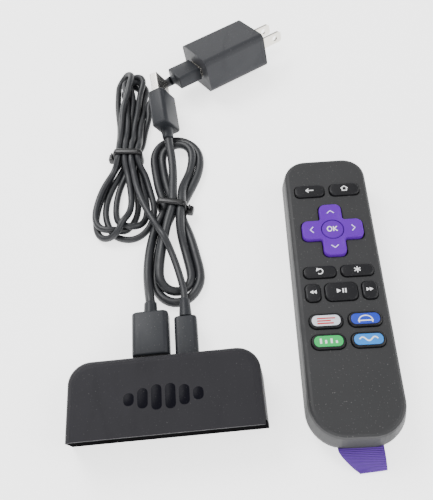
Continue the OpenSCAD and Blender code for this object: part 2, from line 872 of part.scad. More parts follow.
module batteries() {
    color([0.7, 0.55, 0.2])
    at_remote()
        for (s = [-1, 1])
            translate([s*(battery_r + 0.3), battery_y, battery_z])
                rotate([90, 0, 0]) {
                    translate([0, 0, -battery_l/2 + 0.9])
                        cylinder(r = battery_r, h = battery_l - 0.9, $fn = 48);
                    translate([0, 0, -battery_l/2])
                        cylinder(r = 1.9, h = 1, $fn = 24);
                }
}

module battery_contacts() {
    color([0.8, 0.8, 0.8])
    at_remote()
        for (s = [-1, 1]) {
            translate([s*(battery_r + 0.3) - 4, battery_y + battery_l/2 + touch, battery_z - 4])
                cube([8, 0.4, 8]);
            translate([s*(battery_r + 0.3), battery_y - battery_l/2 - 2.4, battery_z])
                rotate([-90, 0, 0])
                    difference() {
                        cylinder(r = 2.6, h = 2.3, $fn = 32);
                        translate([0, 0, 0.4])
                            cylinder(r = 2, h = 3, $fn = 32);
                    }
        }
}

module arrow_pad_pivot() {
    color([0.3, 0.3, 0.32])
    at_remote()
        translate([0, 0, membrane_z + membrane_t + touch])
            cylinder(r = pad_tilt_r, h = pad_z - membrane_z - membrane_t - 0.2, $fn = 32);
}

module arrow_pad() {
    color([0.35, 0.12, 0.7])
    at_remote()
        translate([0, 0, pad_z]) {
            difference() {
                union() {
                    linear_extrude(remote_h + pad_rise - pad_z)
                        pad_outline(0);
                    linear_extrude(flange_t)
                        pad_outline(flange_out);
                }
                translate([0, 0, pad_floor])
                    cylinder(r = ok_r + 0.2, h = 20, $fn = 64);
            }
        }
}

module ok_key() {
    color([0.35, 0.12, 0.7])
    at_remote()
        translate([0, 0, pad_z + pad_floor + key_travel + 0.1])
            cylinder(r = ok_r, h = remote_h + pad_rise - 0.1 - pad_z - pad_floor - key_travel - 0.1, $fn = 64);
}

// One key: its cap through the face and the flange that keeps it in
module key(i) {
    k = KEYS[i];
    color([0.08, 0.08, 0.09])
    at_remote()
        translate([k[1], k[2], key_z]) {
            linear_extrude(remote_h + key_rise - key_z)
                rrect(k[3][0], k[3][1], k[3][2]);
            linear_extrude(flange_t)
                rrect(k[3][0] + 2*flange_out, k[3][1] + 2*flange_out, k[3][2] + flange_out);
        }
}

top_shell();
base_tray();
front_window();
main_board();
shield_can();
thermal_pad();
heat_spreader();
hdmi_socket();
power_socket();
reset_switch();
reset_button();
ir_receiver();
status_led();
board_screws();
hdmi_plug_shell();
hdmi_plug_grip();
hdmi_near_lead();
hdmi_hank();
hdmi_far_lead();
hdmi_far_grip();
hdmi_far_shell();
hdmi_tie();
power_plug_shell();
power_plug_grip();
power_lead();
power_hank();
supply_lead();
supply_plug_grip();
supply_plug_shell();
power_tie();
adapter_case();
adapter_end_cap();
adapter_blades();
adapter_socket();
adapter_board();
adapter_transformer();
adapter_capacitors();
remote_top_case();
remote_bottom_case();
battery_door();
remote_tag();
key_membrane();
remote_board();
remote_ir_led();
batteries();
battery_contacts();
arrow_pad_pivot();
arrow_pad();
ok_key();
for (i = [0:len(KEYS) - 1])
    key(i);
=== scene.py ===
"""Looks of a small streaming player with its two banded leads, wall adapter and remote control."""
import json
import math

import bpy
import numpy as np
from mathutils import Matrix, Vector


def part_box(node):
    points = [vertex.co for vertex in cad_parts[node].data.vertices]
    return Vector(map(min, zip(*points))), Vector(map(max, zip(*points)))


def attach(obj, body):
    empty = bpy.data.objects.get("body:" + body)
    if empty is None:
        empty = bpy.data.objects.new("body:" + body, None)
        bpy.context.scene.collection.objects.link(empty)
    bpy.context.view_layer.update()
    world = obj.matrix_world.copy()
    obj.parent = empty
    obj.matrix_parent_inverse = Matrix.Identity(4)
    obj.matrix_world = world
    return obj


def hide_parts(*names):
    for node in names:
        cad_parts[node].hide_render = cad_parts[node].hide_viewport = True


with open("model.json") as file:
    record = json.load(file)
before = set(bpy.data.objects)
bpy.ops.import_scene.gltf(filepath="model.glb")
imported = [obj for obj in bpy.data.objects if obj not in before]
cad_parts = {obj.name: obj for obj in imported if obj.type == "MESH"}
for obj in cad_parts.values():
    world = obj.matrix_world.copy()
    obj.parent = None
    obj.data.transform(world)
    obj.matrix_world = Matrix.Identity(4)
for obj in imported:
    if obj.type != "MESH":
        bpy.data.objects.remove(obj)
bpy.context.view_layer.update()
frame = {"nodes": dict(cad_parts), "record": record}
MM = 0.001
NODES = frame["nodes"]

# ---- camera ----

CAMERA_AT = (0.0337, -0.0995, 0.2824)
CAMERA_RIGHT = (0.9946, -0.0753, -0.0709)
CAMERA_UP = (0.1015, 0.8412, 0.5311)
CAMERA_BACK = (0.0196, -0.5355, 0.8443)
LENS_MM = 47.07
SENSOR_MM = 36


def add_camera():
    data = bpy.data.cameras.new("studio_camera")
    data.lens, data.sensor_width, data.sensor_fit = LENS_MM, SENSOR_MM, "AUTO"
    data.clip_start, data.clip_end = 0.01, 10
    camera = bpy.data.objects.new("studio_camera", data)
    turn = Matrix((CAMERA_RIGHT, CAMERA_UP, CAMERA_BACK)).transposed().to_4x4()
    camera.matrix_world = Matrix.Translation(CAMERA_AT) @ turn
    bpy.context.collection.objects.link(camera)
    bpy.context.scene.camera = camera


add_camera()

# ---- shader groups ----


def shader_group(name, inputs, outputs):
    """Empty node group: inputs and outputs are lists of (socket type, name, start value or None)."""
    group = bpy.data.node_groups.new(name, "ShaderNodeTree")
    for kind, label, value in inputs:
        socket = group.interface.new_socket(label, in_out="INPUT", socket_type=kind)
        if value is not None:
            socket.default_value = value
    for kind, label, _ in outputs:
        group.interface.new_socket(label, in_out="OUTPUT", socket_type=kind)
    return group, group.nodes.new("NodeGroupInput"), group.nodes.new("NodeGroupOutput")


def node(tree, kind, values=None, **settings):
    """New node with its settings, and start values by input name or number."""
    made = tree.nodes.new(kind)
    for key, value in settings.items():
        setattr(made, key, value)
    for key, value in (values or {}).items():
        made.inputs[key].default_value = value
    return made


def moulded_grain_group():
    """Spark-eroded mould texture: one fine noise for the height, one broad noise for the shade."""
    tree, start, end = shader_group(
        "moulded_grain",
        [("NodeSocketVector", "Vector", None), ("NodeSocketFloat", "Scale", 2500.0)],
        [("NodeSocketFloat", "Height", None), ("NodeSocketFloat", "Shade", None)])
    fine = node(tree, "ShaderNodeTexNoise", {"Detail": 3.0, "Roughness": 0.6})
    broad = node(tree, "ShaderNodeTexNoise", {"Scale": 60.0, "Detail": 4.0})
    tree.links.new(start.outputs["Vector"], fine.inputs["Vector"])
    tree.links.new(start.outputs["Scale"], fine.inputs["Scale"])
    tree.links.new(start.outputs["Vector"], broad.inputs["Vector"])
    tree.links.new(fine.outputs["Fac"], end.inputs["Height"])
    tree.links.new(broad.outputs["Fac"], end.inputs["Shade"])
    return tree


def handling_marks_group():
    """Finger marks and faint rubs: stretched noise, cut to a soft mask."""
    tree, start, end = shader_group(
        "handling_marks",
        [("NodeSocketVector", "Vector", None), ("NodeSocketFloat", "Scale", 90.0)],
        [("NodeSocketFloat", "Mask", None)])
    stretch = node(tree, "ShaderNodeMapping")
    stretch.inputs["Scale"].default_value = (1.0, 0.35, 1.0)
    stretch.inputs["Rotation"].default_value = (0.0, 0.0, 0.6)
    noise = node(tree, "ShaderNodeTexNoise", {"Detail": 6.0, "Roughness": 0.65, "Distortion": 0.8})
    ramp = node(tree, "ShaderNodeMapRange", {"From Min": 0.45, "From Max": 0.72},
                interpolation_type="SMOOTHSTEP")
    tree.links.new(start.outputs["Vector"], stretch.inputs["Vector"])
    tree.links.new(stretch.outputs["Vector"], noise.inputs["Vector"])
    tree.links.new(start.outputs["Scale"], noise.inputs["Scale"])
    tree.links.new(noise.outputs["Fac"], ramp.inputs["Value"])
    tree.links.new(ramp.outputs["Result"], end.inputs["Mask"])
    return tree


def settled_dust_group():
    """Dust on faces that look up: small sparse specks times the upward part of the normal."""
    tree, start, end = shader_group(
        "settled_dust",
        [("NodeSocketVector", "Vector", None), ("NodeSocketFloat", "Amount", 0.3)],
        [("NodeSocketFloat", "Mask", None)])
    place = node(tree, "ShaderNodeNewGeometry")
    split = node(tree, "ShaderNodeSeparateXYZ")
    specks = node(tree, "ShaderNodeTexNoise", {"Scale": 1400.0, "Detail": 2.0})
    cut = node(tree, "ShaderNodeMapRange", {"From Min": 0.66, "From Max": 0.78})
    up = node(tree, "ShaderNodeMath", operation="MULTIPLY", use_clamp=True)
    amount = node(tree, "ShaderNodeMath", operation="MULTIPLY", use_clamp=True)
    tree.links.new(place.outputs["Normal"], split.inputs["Vector"])
    tree.links.new(start.outputs["Vector"], specks.inputs["Vector"])
    tree.links.new(specks.outputs["Fac"], cut.inputs["Value"])
    tree.links.new(split.outputs["Z"], up.inputs[0])
    tree.links.new(cut.outputs["Result"], up.inputs[1])
    tree.links.new(up.outputs["Value"], amount.inputs[0])
    tree.links.new(start.outputs["Amount"], amount.inputs[1])
    tree.links.new(amount.outputs["Value"], end.inputs["Mask"])
    return tree


def drawn_metal_group():
    """Drawn or rolled metal: noise stretched along one axis gives fine lines and a tone."""
    tree, start, end = shader_group(
        "drawn_metal",
        [("NodeSocketVector", "Vector", None), ("NodeSocketVector", "Stretch", (1500.0, 60.0, 1500.0))],
        [("NodeSocketFloat", "Height", None), ("NodeSocketFloat", "Tone", None)])
    stretch = node(tree, "ShaderNodeVectorMath", operation="MULTIPLY")
    lines = node(tree, "ShaderNodeTexNoise", {"Scale": 1.0, "Detail": 3.0})
    tone = node(tree, "ShaderNodeTexNoise", {"Scale": 120.0, "Detail": 3.0})
    tree.links.new(start.outputs["Vector"], stretch.inputs[0])
    tree.links.new(start.outputs["Stretch"], stretch.inputs[1])
    tree.links.new(stretch.outputs["Vector"], lines.inputs["Vector"])
    tree.links.new(start.outputs["Vector"], tone.inputs["Vector"])
    tree.links.new(lines.outputs["Fac"], end.inputs["Height"])
    tree.links.new(tone.outputs["Fac"], end.inputs["Tone"])
    return tree


GRAIN = moulded_grain_group()
MARKS = handling_marks_group()
DUST = settled_dust_group()
DRAWN = drawn_metal_group()

# ---- materials ----


def blank_material(name):
    """Material with only its surface shader and an Object coordinate source."""
    made = bpy.data.materials.new(name)
    made.use_nodes = True
    tree = made.node_tree
    shader = tree.nodes["Principled BSDF"]
    where = tree.nodes.new("ShaderNodeTexCoord")
    return made, tree, shader, where.outputs["Object"]


def use_group(tree, group, source, **values):
    """Group node fed by a coordinate, with its own values."""
    made = tree.nodes.new("ShaderNodeGroup")
    made.node_tree = group
    tree.links.new(source, made.inputs["Vector"])
    for key, value in values.items():
        made.inputs[key].default_value = value
    return made


def mix_colour(tree, mask, low, high):
    """Mix of two colours, or of a socket and a colour, by a mask socket."""
    made = tree.nodes.new("ShaderNodeMix")
    made.data_type = "RGBA"
    tree.links.new(mask, made.inputs["Factor"])
    for slot, value in (("A", low), ("B", high)):
        socket = [s for s in made.inputs if s.name == slot and s.type == "RGBA"][0]
        if isinstance(value, tuple):
            socket.default_value = (*value, 1.0)
        else:
            tree.links.new(value, socket)
    return [s for s in made.outputs if s.type == "RGBA"][0]


def add_bump(tree, shader, height, strength, distance):
    """Bump from a height socket into the shader's normal."""
    bump = node(tree, "ShaderNodeBump", {"Strength": strength, "Distance": distance})
    tree.links.new(height, bump.inputs["Height"])
    tree.links.new(bump.outputs["Normal"], shader.inputs["Normal"])


def plastic(name, colour, roughness, grain=2500.0, depth=0.02, strength=0.25, dust=0.25, marks=0.12,
            vary=0.12, ior=1.45):
    """Moulded plastic or rubber: grain bump, slight shade changes, finger marks in the gloss, dust on top."""
    made, tree, shader, where = blank_material(name)
    grain_node = use_group(tree, GRAIN, where, Scale=grain)
    marks_node = use_group(tree, MARKS, where)
    dust_node = use_group(tree, DUST, where, Amount=dust)
    low = tuple(c*(1 - vary) for c in colour)
    high = tuple(min(1.0, c*(1 + vary)) for c in colour)
    base = mix_colour(tree, grain_node.outputs["Shade"], low, high)
    dusty = mix_colour(tree, dust_node.outputs["Mask"], base, (0.32, 0.31, 0.3))
    tree.links.new(dusty, shader.inputs["Base Color"])
    gloss = node(tree, "ShaderNodeMapRange", {"To Min": roughness, "To Max": min(1.0, roughness + marks)})
    tree.links.new(marks_node.outputs["Mask"], gloss.inputs["Value"])
    tree.links.new(gloss.outputs["Result"], shader.inputs["Roughness"])
    add_bump(tree, shader, grain_node.outputs["Height"], strength, depth*MM)
    shader.inputs["IOR"].default_value = ior
    return made


def metal(name, colour, roughness, stretch=(1500.0, 60.0, 1500.0)):
    """Plated or rolled metal with drawn lines and a slightly uneven tone."""
    made, tree, shader, where = blank_material(name)
    lines = use_group(tree, DRAWN, where, Stretch=stretch)
    base = mix_colour(tree, lines.outputs["Tone"], tuple(c*0.85 for c in colour), colour)
    tree.links.new(base, shader.inputs["Base Color"])
    gloss = node(tree, "ShaderNodeMapRange", {"To Min": roughness*0.7, "To Max": roughness*1.4})
    tree.links.new(lines.outputs["Height"], gloss.inputs["Value"])
    tree.links.new(gloss.outputs["Result"], shader.inputs["Roughness"])
    shader.inputs["Metallic"].default_value = 1.0
    add_bump(tree, shader, lines.outputs["Height"], 0.1, 0.02*MM)
    return made


def circuit_board_material():
    """Green mask over copper traces: square Voronoi cells give the tracks, dots give the pads."""
    made, tree, shader, where = blank_material("circuit_board")
    tracks = node(tree, "ShaderNodeTexVoronoi", {"Scale": 420.0}, distance="MANHATTAN", feature="F1")
    pads = node(tree, "ShaderNodeTexVoronoi", {"Scale": 260.0}, feature="F1")
    track = node(tree, "ShaderNodeMapRange", {"From Min": 0.3, "From Max": 0.34})
    pad = node(tree, "ShaderNodeMapRange", {"From Min": 0.16, "From Max": 0.12})
    for source, ramp in ((tracks, track), (pads, pad)):
        tree.links.new(where, source.inputs["Vector"])
        tree.links.new(source.outputs["Distance"], ramp.inputs["Value"])
    base = mix_colour(tree, track.outputs["Result"], (0.01, 0.09, 0.035), (0.02, 0.15, 0.06))
    base = mix_colour(tree, pad.outputs["Result"], base, (0.6, 0.56, 0.4))
    tree.links.new(base, shader.inputs["Base Color"])
    tree.links.new(pad.outputs["Result"], shader.inputs["Metallic"])
    shader.inputs["Roughness"].default_value = 0.35
    add_bump(tree, shader, track.outputs["Result"], 0.3, 0.03*MM)
    return made


def lens_material(name, colour, alpha_roughness):
    """Small clear or tinted lamp lens with a faintly uneven surface."""
    made, tree, shader, where = blank_material(name)
    grain = use_group(tree, GRAIN, where, Scale=900.0)
    base = mix_colour(tree, grain.outputs["Shade"], tuple(c*0.9 for c in colour), colour)
    tree.links.new(base, shader.inputs["Base Color"])
    shader.inputs["Transmission Weight"].default_value = 0.6
    shader.inputs["Roughness"].default_value = alpha_roughness
    add_bump(tree, shader, grain.outputs["Height"], 0.08, 0.02*MM)
    return made


def cord_material(name, colour, roughness):
    """Cord jacket: extrusion lines round the cord from its UV map, fine grain and finger marks."""
    made, tree, shader, where = blank_material(name)
    uv = node(tree, "ShaderNodeUVMap")
    lines = node(tree, "ShaderNodeTexNoise", {"Scale": 1.0, "Detail": 3.0})
    stretch = node(tree, "ShaderNodeVectorMath", operation="MULTIPLY")
    stretch.inputs[1].default_value = (60.0, 900.0, 1.0)
    tree.links.new(uv.outputs["UV"], stretch.inputs[0])
    tree.links.new(stretch.outputs["Vector"], lines.inputs["Vector"])
    grain = use_group(tree, GRAIN, where, Scale=1800.0)
    marks_node = use_group(tree, MARKS, where, Scale=140.0)
    dust_node = use_group(tree, DUST, where, Amount=0.2)
    low, high = (tuple(c*share for c in colour) for share in (0.8, 1.2))
    base = mix_colour(tree, grain.outputs["Shade"], low, high)
    base = mix_colour(tree, dust_node.outputs["Mask"], base, (0.3, 0.3, 0.3))
    tree.links.new(base, shader.inputs["Base Color"])
    gloss = node(tree, "ShaderNodeMapRange", {"To Min": roughness, "To Max": roughness + 0.15})
    tree.links.new(marks_node.outputs["Mask"], gloss.inputs["Value"])
    tree.links.new(gloss.outputs["Result"], shader.inputs["Roughness"])
    add_bump(tree, shader, lines.outputs["Fac"], 0.12, 0.03*MM)
    return made


def ribbon_material():
    """Ribbed ribbon: ribs across its length and threads across its width, from its UV map in millimetres. The
    violet follows the ribs as painted shade, darker in the grooves between them and lighter on their tops.
    """
    made, tree, shader, where = blank_material("violet_ribbon")
    uv = node(tree, "ShaderNodeUVMap")
    ribs = node(tree, "ShaderNodeTexWave", {"Scale": 0.42, "Distortion": 0.3, "Detail": 1.0},
                bands_direction="Y")
    threads = node(tree, "ShaderNodeTexWave", {"Scale": 1.1, "Distortion": 0.5, "Detail": 1.0},
                   bands_direction="X")
    weave = node(tree, "ShaderNodeMath", operation="MULTIPLY_ADD")
    weave.inputs[1].default_value = 0.35
    for wave in (ribs, threads):
        tree.links.new(uv.outputs["UV"], wave.inputs["Vector"])
    tree.links.new(threads.outputs["Fac"], weave.inputs[0])
    tree.links.new(ribs.outputs["Fac"], weave.inputs[2])
    # Painted shade: the base colour follows the rib wave, darker violet in the grooves between ribs and lighter on
    # the rib tops
    base = mix_colour(tree, ribs.outputs["Fac"], (0.03, 0.003, 0.12), (0.1, 0.01, 0.36))
    tree.links.new(base, shader.inputs["Base Color"])
    shader.inputs["Roughness"].default_value = 0.62
    shader.inputs["Sheen Weight"].default_value = 0.12
    shader.inputs["Sheen Roughness"].default_value = 0.4
    add_bump(tree, shader, weave.outputs["Value"], 0.7, 0.25*MM)
    return made


MATERIALS = {
    "satin_black": plastic("satin_black", (0.019, 0.0185, 0.0215), 0.58, 2200, 0.03, 0.35, dust=0.12,
                           ior=1.22),
    "dark_plastic": plastic("dark_plastic", (0.004, 0.004, 0.005), 0.5, 2600, dust=0.1, ior=1.01),
    "smoked_window": plastic("smoked_window", (0.001, 0.001, 0.0013), 0.14, 900, 0.01, 0.05, marks=0.12,
                             dust=0.05, ior=1.001),
    "circuit_board": circuit_board_material(),
    "tinned_steel": metal("tinned_steel", (0.6, 0.6, 0.61), 0.34),
    "thermal_pad": plastic("thermal_pad", (0.35, 0.4, 0.5), 0.75, 1200, 0.05, 0.4),
    "spreader_aluminium": metal("spreader_aluminium", (0.78, 0.79, 0.8), 0.36, (60.0, 1500.0, 1500.0)),
    "plug_nickel": metal("plug_nickel", (0.72, 0.7, 0.66), 0.24),
    "component_black": plastic("component_black", (0.02, 0.02, 0.021), 0.5, 3000),
    "led_lens": lens_material("led_lens", (0.9, 0.9, 0.86), 0.3),
    "screw_steel": metal("screw_steel", (0.5, 0.5, 0.52), 0.35, (900.0, 900.0, 100.0)),
    "plug_black": plastic("plug_black", (0.013, 0.0145, 0.018), 0.46, 2400, 0.03, 0.3, ior=1.36),
    "cord_black": cord_material("cord_black", (0.008, 0.009, 0.0115), 0.46),
    "tie_black": plastic("tie_black", (0.004, 0.004, 0.005), 0.3, 1600, 0.02, 0.2),
    "adapter_black": plastic("adapter_black", (0.017, 0.018, 0.0215), 0.5, 1900, 0.05, 0.5, ior=1.38),
    "blade_nickel": metal("blade_nickel", (0.74, 0.71, 0.64), 0.22, (100.0, 1400.0, 1400.0)),
    "coil_tape": plastic("coil_tape", (0.6, 0.4, 0.05), 0.35, 700, 0.02, 0.2),
    "capacitor_sleeve": plastic("capacitor_sleeve", (0.03, 0.03, 0.12), 0.3, 700),
    "remote_charcoal": plastic("remote_charcoal", (0.021, 0.0212, 0.0225), 0.52, 1900, 0.05, 0.5, dust=0.25,
                               ior=1.38),
    "violet_ribbon": ribbon_material(),
    "membrane_rubber": plastic("membrane_rubber", (0.15, 0.15, 0.16), 0.7, 1500),
    "led_dark": lens_material("led_dark", (0.2, 0.1, 0.28), 0.15),
    "battery_sleeve": plastic("battery_sleeve", (0.45, 0.2, 0.05), 0.28, 600, 0.01, 0.1),
    "spring_nickel": metal("spring_nickel", (0.7, 0.7, 0.69), 0.3),
    "violet_pad": plastic("violet_pad", (0.1, 0.009, 0.34), 0.55, 1700, 0.03, 0.3, dust=0.1, ior=1.25),
    "key_black": plastic("key_black", (0.005, 0.005, 0.0065), 0.42, 2000, 0.02, 0.25, dust=0.15, ior=1.34),
}
INK_WHITE = plastic("ink_white", (0.78, 0.78, 0.79), 0.45, 1500, dust=0.0)
INK_VIOLET = plastic("ink_pale_violet", (0.62, 0.5, 0.95), 0.45, 1500, dust=0.0)
EMBLEM_GLOSS = plastic("emblem_gloss", (0.004, 0.004, 0.0065), 0.3, 900, 0.01, 0.05, dust=0.1, ior=1.12)
CAP_WHITE = plastic("cap_white", (0.62, 0.64, 0.7), 0.45, 1500, dust=0.1)
CAP_BLUE = plastic("cap_blue", (0.006, 0.035, 0.42), 0.5, 1500, dust=0.1)
CAP_GREEN = plastic("cap_green", (0.003, 0.4, 0.085), 0.5, 1500, dust=0.1)
CAP_SKY = plastic("cap_sky", (0.012, 0.2, 0.62), 0.5, 1500, dust=0.1)
INK_RED = plastic("ink_red", (0.5, 0.004, 0.008), 0.5, 1500, dust=0.0)

for part in frame["record"]["subparts"]:
    for slot in NODES[part["node"]].material_slots:
        slot.material = MATERIALS[part["material_slot"]]

# ---- surfaces ----


def add_surface(name, rings, material, caps=True, sharp_deg=40, uv=None):
    """Closed surface through rings of points, an array (rings, points, 3) in metres. Each ring closes on
    itself, and a flat face closes the first and the last. Turned if its signed volume is negative."""
    count, around = rings.shape[:2]
    points = rings.reshape(-1, 3)
    i, k = np.meshgrid(np.arange(count - 1), np.arange(around), indexing="ij")
    n = (k + 1) % around
    quads = np.stack([i*around + k, i*around + n, (i + 1)*around + n, (i + 1)*around + k], -1).reshape(-1, 4)
    a, b, c, d = (points[quads[:, j]] for j in range(4))
    volume = (np.einsum("ij,ij->i", a, np.cross(b, c)) + np.einsum("ij,ij->i", a, np.cross(c, d))).sum()
    if caps:
        first, last = points[:around], points[-around:]
        for ring, sign in ((first, -1), (last, 1)):
            m = ring.mean(0)
            volume += sign*np.einsum("ij,ij->i", ring, np.cross(np.roll(ring, -1, 0), m)).sum()
    faces = quads.tolist()
    if caps:
        faces += [list(range(around))[::-1], list(range((count - 1)*around, count*around))]
    if volume < 0:
        faces = [face[::-1] for face in faces]
    mesh = bpy.data.meshes.new(name)
    mesh.from_pydata(points.tolist(), [], faces)
    if uv is not None:
        corner = np.empty(len(mesh.loops), dtype=np.int32)
        mesh.loops.foreach_get("vertex_index", corner)
        mesh.uv_layers.new(name="UVMap").data.foreach_set("uv", uv.reshape(-1, 2)[corner].ravel())
    mesh.polygons.foreach_set("use_smooth", np.ones(len(mesh.polygons), dtype=bool))
    mesh.set_sharp_from_angle(angle=math.radians(sharp_deg))
    mesh.materials.append(material)
    mesh.update()
    made = bpy.data.objects.new(name, mesh)
    bpy.context.collection.objects.link(made)
    return made


def rounded_outline(w, h, r, k=7):
    """Rectangle w by h with corners of radius r: a quarter circle of k points at each corner."""
    quarter = np.linspace(0, math.pi/2, k)
    turn = (quarter[None, :] + np.arange(4)[:, None]*math.pi/2).ravel()
    sx = np.repeat([1, -1, -1, 1], k)*(w/2 - r)
    sy = np.repeat([1, 1, -1, -1], k)*(h/2 - r)
    return np.column_stack([sx + r*np.cos(turn), sy + r*np.sin(turn)])


def loft(stations, origin, along, across, k=7):
    """Rings of a loft: each station (x, w, h, r) puts a rounded rectangle at distance x along the axis."""
    along, across = np.asarray(along, float), np.asarray(across, float)
    along, across = along/np.linalg.norm(along), across/np.linalg.norm(across)
    other = np.cross(along, across)
    rings = []
    for x, w, h, r in stations:
        flat = rounded_outline(w, h, r, k)
        rings.append(np.asarray(origin) + x*along + flat[:, :1]*across + flat[:, 1:]*other)
    return np.array(rings)*MM


def eased(x0, x1, w, h, r, edge, steps=5):
    """Stations of a rounded-rectangle bar from x0 to x1 with quarter-round edges at both ends."""
    a = np.linspace(0, math.pi/2, steps)
    start = [(x0 + edge*(1 - math.cos(t)), w - 2*edge*(1 - math.sin(t)), h - 2*edge*(1 - math.sin(t)),
              max(0.2, r - edge*(1 - math.sin(t))*0.6)) for t in a]
    end = [(x0 + x1 - s[0], *s[1:]) for s in start[::-1]]
    return start + end


def direction(heading, tilt=0.0):
    """Unit vector at a heading from +Y towards -X, tilted up, in degrees."""
    h, t = math.radians(heading), math.radians(tilt)
    return np.array([-math.sin(h)*math.cos(t), math.cos(h)*math.cos(t), math.sin(t)])


# ---- cords ----

# Sizes in millimetres. The tightest bend is asked in cord diameters; the home pull is a share each round
VIDEO_D = 4.6
POWER_D = 3.5
FLOOR_VIDEO = VIDEO_D/2
FLOOR_POWER = POWER_D/2
TIGHTEST_BEND = 2.1
HOME_PULL = 0.012


def along(points, step):
    """Smooth line through points: Catmull-Rom curve, then points at equal steps along it."""
    p = np.asarray(points, float)
    p = np.vstack([2*p[0] - p[1], p, 2*p[-1] - p[-2]])
    t = np.linspace(0, 1, 24, endpoint=False)[:, None]
    a, b, c, d = (p[k:len(p) - 3 + k, None, :] for k in range(4))
    curve = 0.5*(2*b + (c - a)*t + (2*a - 5*b + 4*c - d)*t**2 + (3*b - a - 3*c + d)*t**3)
    curve = np.vstack([curve.reshape(-1, 3), p[-2]])
    run = np.concatenate([[0], np.cumsum(np.linalg.norm(np.diff(curve, axis=0), axis=1))])
    at = np.linspace(0, run[-1], int(round(run[-1]/step)) + 1)
    return np.column_stack([np.interp(at, run, curve[:, k]) for k in range(3)])


def push_from(line, free, blockers, reach):
    """Moves free points that are nearer than reach to a blocking point straight away from it."""
    gap = line[:, None, :] - blockers[None, :, :]
    square = np.einsum("ijk,ijk->ij", gap, gap)
    nearest = square.argmin(1)
    rows = np.arange(len(line))
    far = np.sqrt(square[rows, nearest]) + 1e-9
    hit = (far < reach) & free
    line[hit] += ((reach - far)[:, None]*gap[rows, nearest]/far[:, None])[hit]


def open_bends(line, free, step, radius, span=3):
    """Opens bends tighter than a radius: a point gives half of the excess of its sagitta over two spans of
    steps, and the two points a span away take a quarter each."""
    most = (span*step)**2/(2*radius)
    sag = 0.5*(line[:-2*span] + line[2*span:]) - line[span:-span]
    size = np.linalg.norm(sag, axis=1)[:, None] + 1e-9
    excess = sag*np.maximum(1 - most/size, 0)
    move = np.zeros_like(line)
    move[span:-span] += 0.5*excess
    move[:-2*span] -= 0.25*excess
    move[2*span:] -= 0.25*excess
    line[free] += move[free]


def settle(line, d, held, rounds=260, blockers=None, reach=0.0, keep=HOME_PULL, stiff=0.35):
    """Rope under its own stiffness: each round pulls every point a little to its home, evens and opens the
    bends, pushes strands d apart and up from the floor, and keeps every step as long as it was."""
    home, n, free = line.copy(), len(line), ~held
    step = np.linalg.norm(np.diff(line, axis=0), axis=1).mean()
    first, second = np.triu_indices(n, int(np.ceil(2.0*d/step)) + 1)
    for turn in range(rounds):
        line[free] += keep*(home - line)[free]*(1, 1, 0.5)
        bend = np.zeros_like(line)
        bend[1:-1] = 0.5*(line[:-2] + line[2:]) - line[1:-1]
        even = bend.copy()
        even[1:-1] -= 0.5*(bend[:-2] + bend[2:])
        line[free] += stiff*even[free]
        open_bends(line, free, step, TIGHTEST_BEND*d)
        if turn % 10 == 0:
            gap = line[first] - line[second]
            close = np.einsum("ij,ij->i", gap, gap) < (1.6*d)**2
            one, two = first[close], second[close]
        for _ in range(2):
            gap = line[one] - line[two]
            square = np.einsum("ij,ij->i", gap, gap)
            near = square < (1.005*d)**2
            i, j, away = one[near], two[near], gap[near]
            far = np.sqrt(square[near]) + 1e-9
            push = 0.5*(1.005*d - far)[:, None]*away/far[:, None]
            move, hits = np.zeros_like(line), np.zeros(n)
            np.add.at(move, i, push)
            np.add.at(move, j, -push)
            np.add.at(hits, i, 1)
            np.add.at(hits, j, 1)
            line[free] += (move/np.sqrt(np.maximum(hits, 1))[:, None])[free]
            if blockers is not None:
                push_from(line, free, blockers, reach)
            line[free, 2] = np.maximum(line[free, 2], d/2)
        for _ in range(3):
            span = np.diff(line, axis=0)
            length = np.linalg.norm(span, axis=1)[:, None] + 1e-9
            fix = 0.5*(length - step)*span/length
            move = np.zeros_like(line)
            move[:-1] += fix
            move[1:] -= fix
            line[free] += 0.8*move[free]
    return line


class Tie:
    """A cable tie's place: slots across its band, and the points of a strand that passes a slot."""

    def __init__(self, at, turn):
        a = math.radians(turn)
        self.at, self.u = np.array(at), np.array([math.cos(a), math.sin(a)])
        self.v = np.array([-self.u[1], self.u[0]])

    def point(self, slot, z, ahead=0.0):
        return (*(self.at + slot*self.u + ahead*self.v), z)

    def holds(self, line, half_width, half_run):
        side = (line[:, :2] - self.at) @ np.column_stack([self.u, self.v])
        return (np.abs(side[:, 1]) < half_run) & (np.abs(side[:, 0]) < half_width)


VIDEO_TIE = Tie((6.2, 105.4), -15)
POWER_TIE = Tie((-16.8, 142.4), -8)
LO, ON = FLOOR_VIDEO, 3.45
HIGH = 8.05

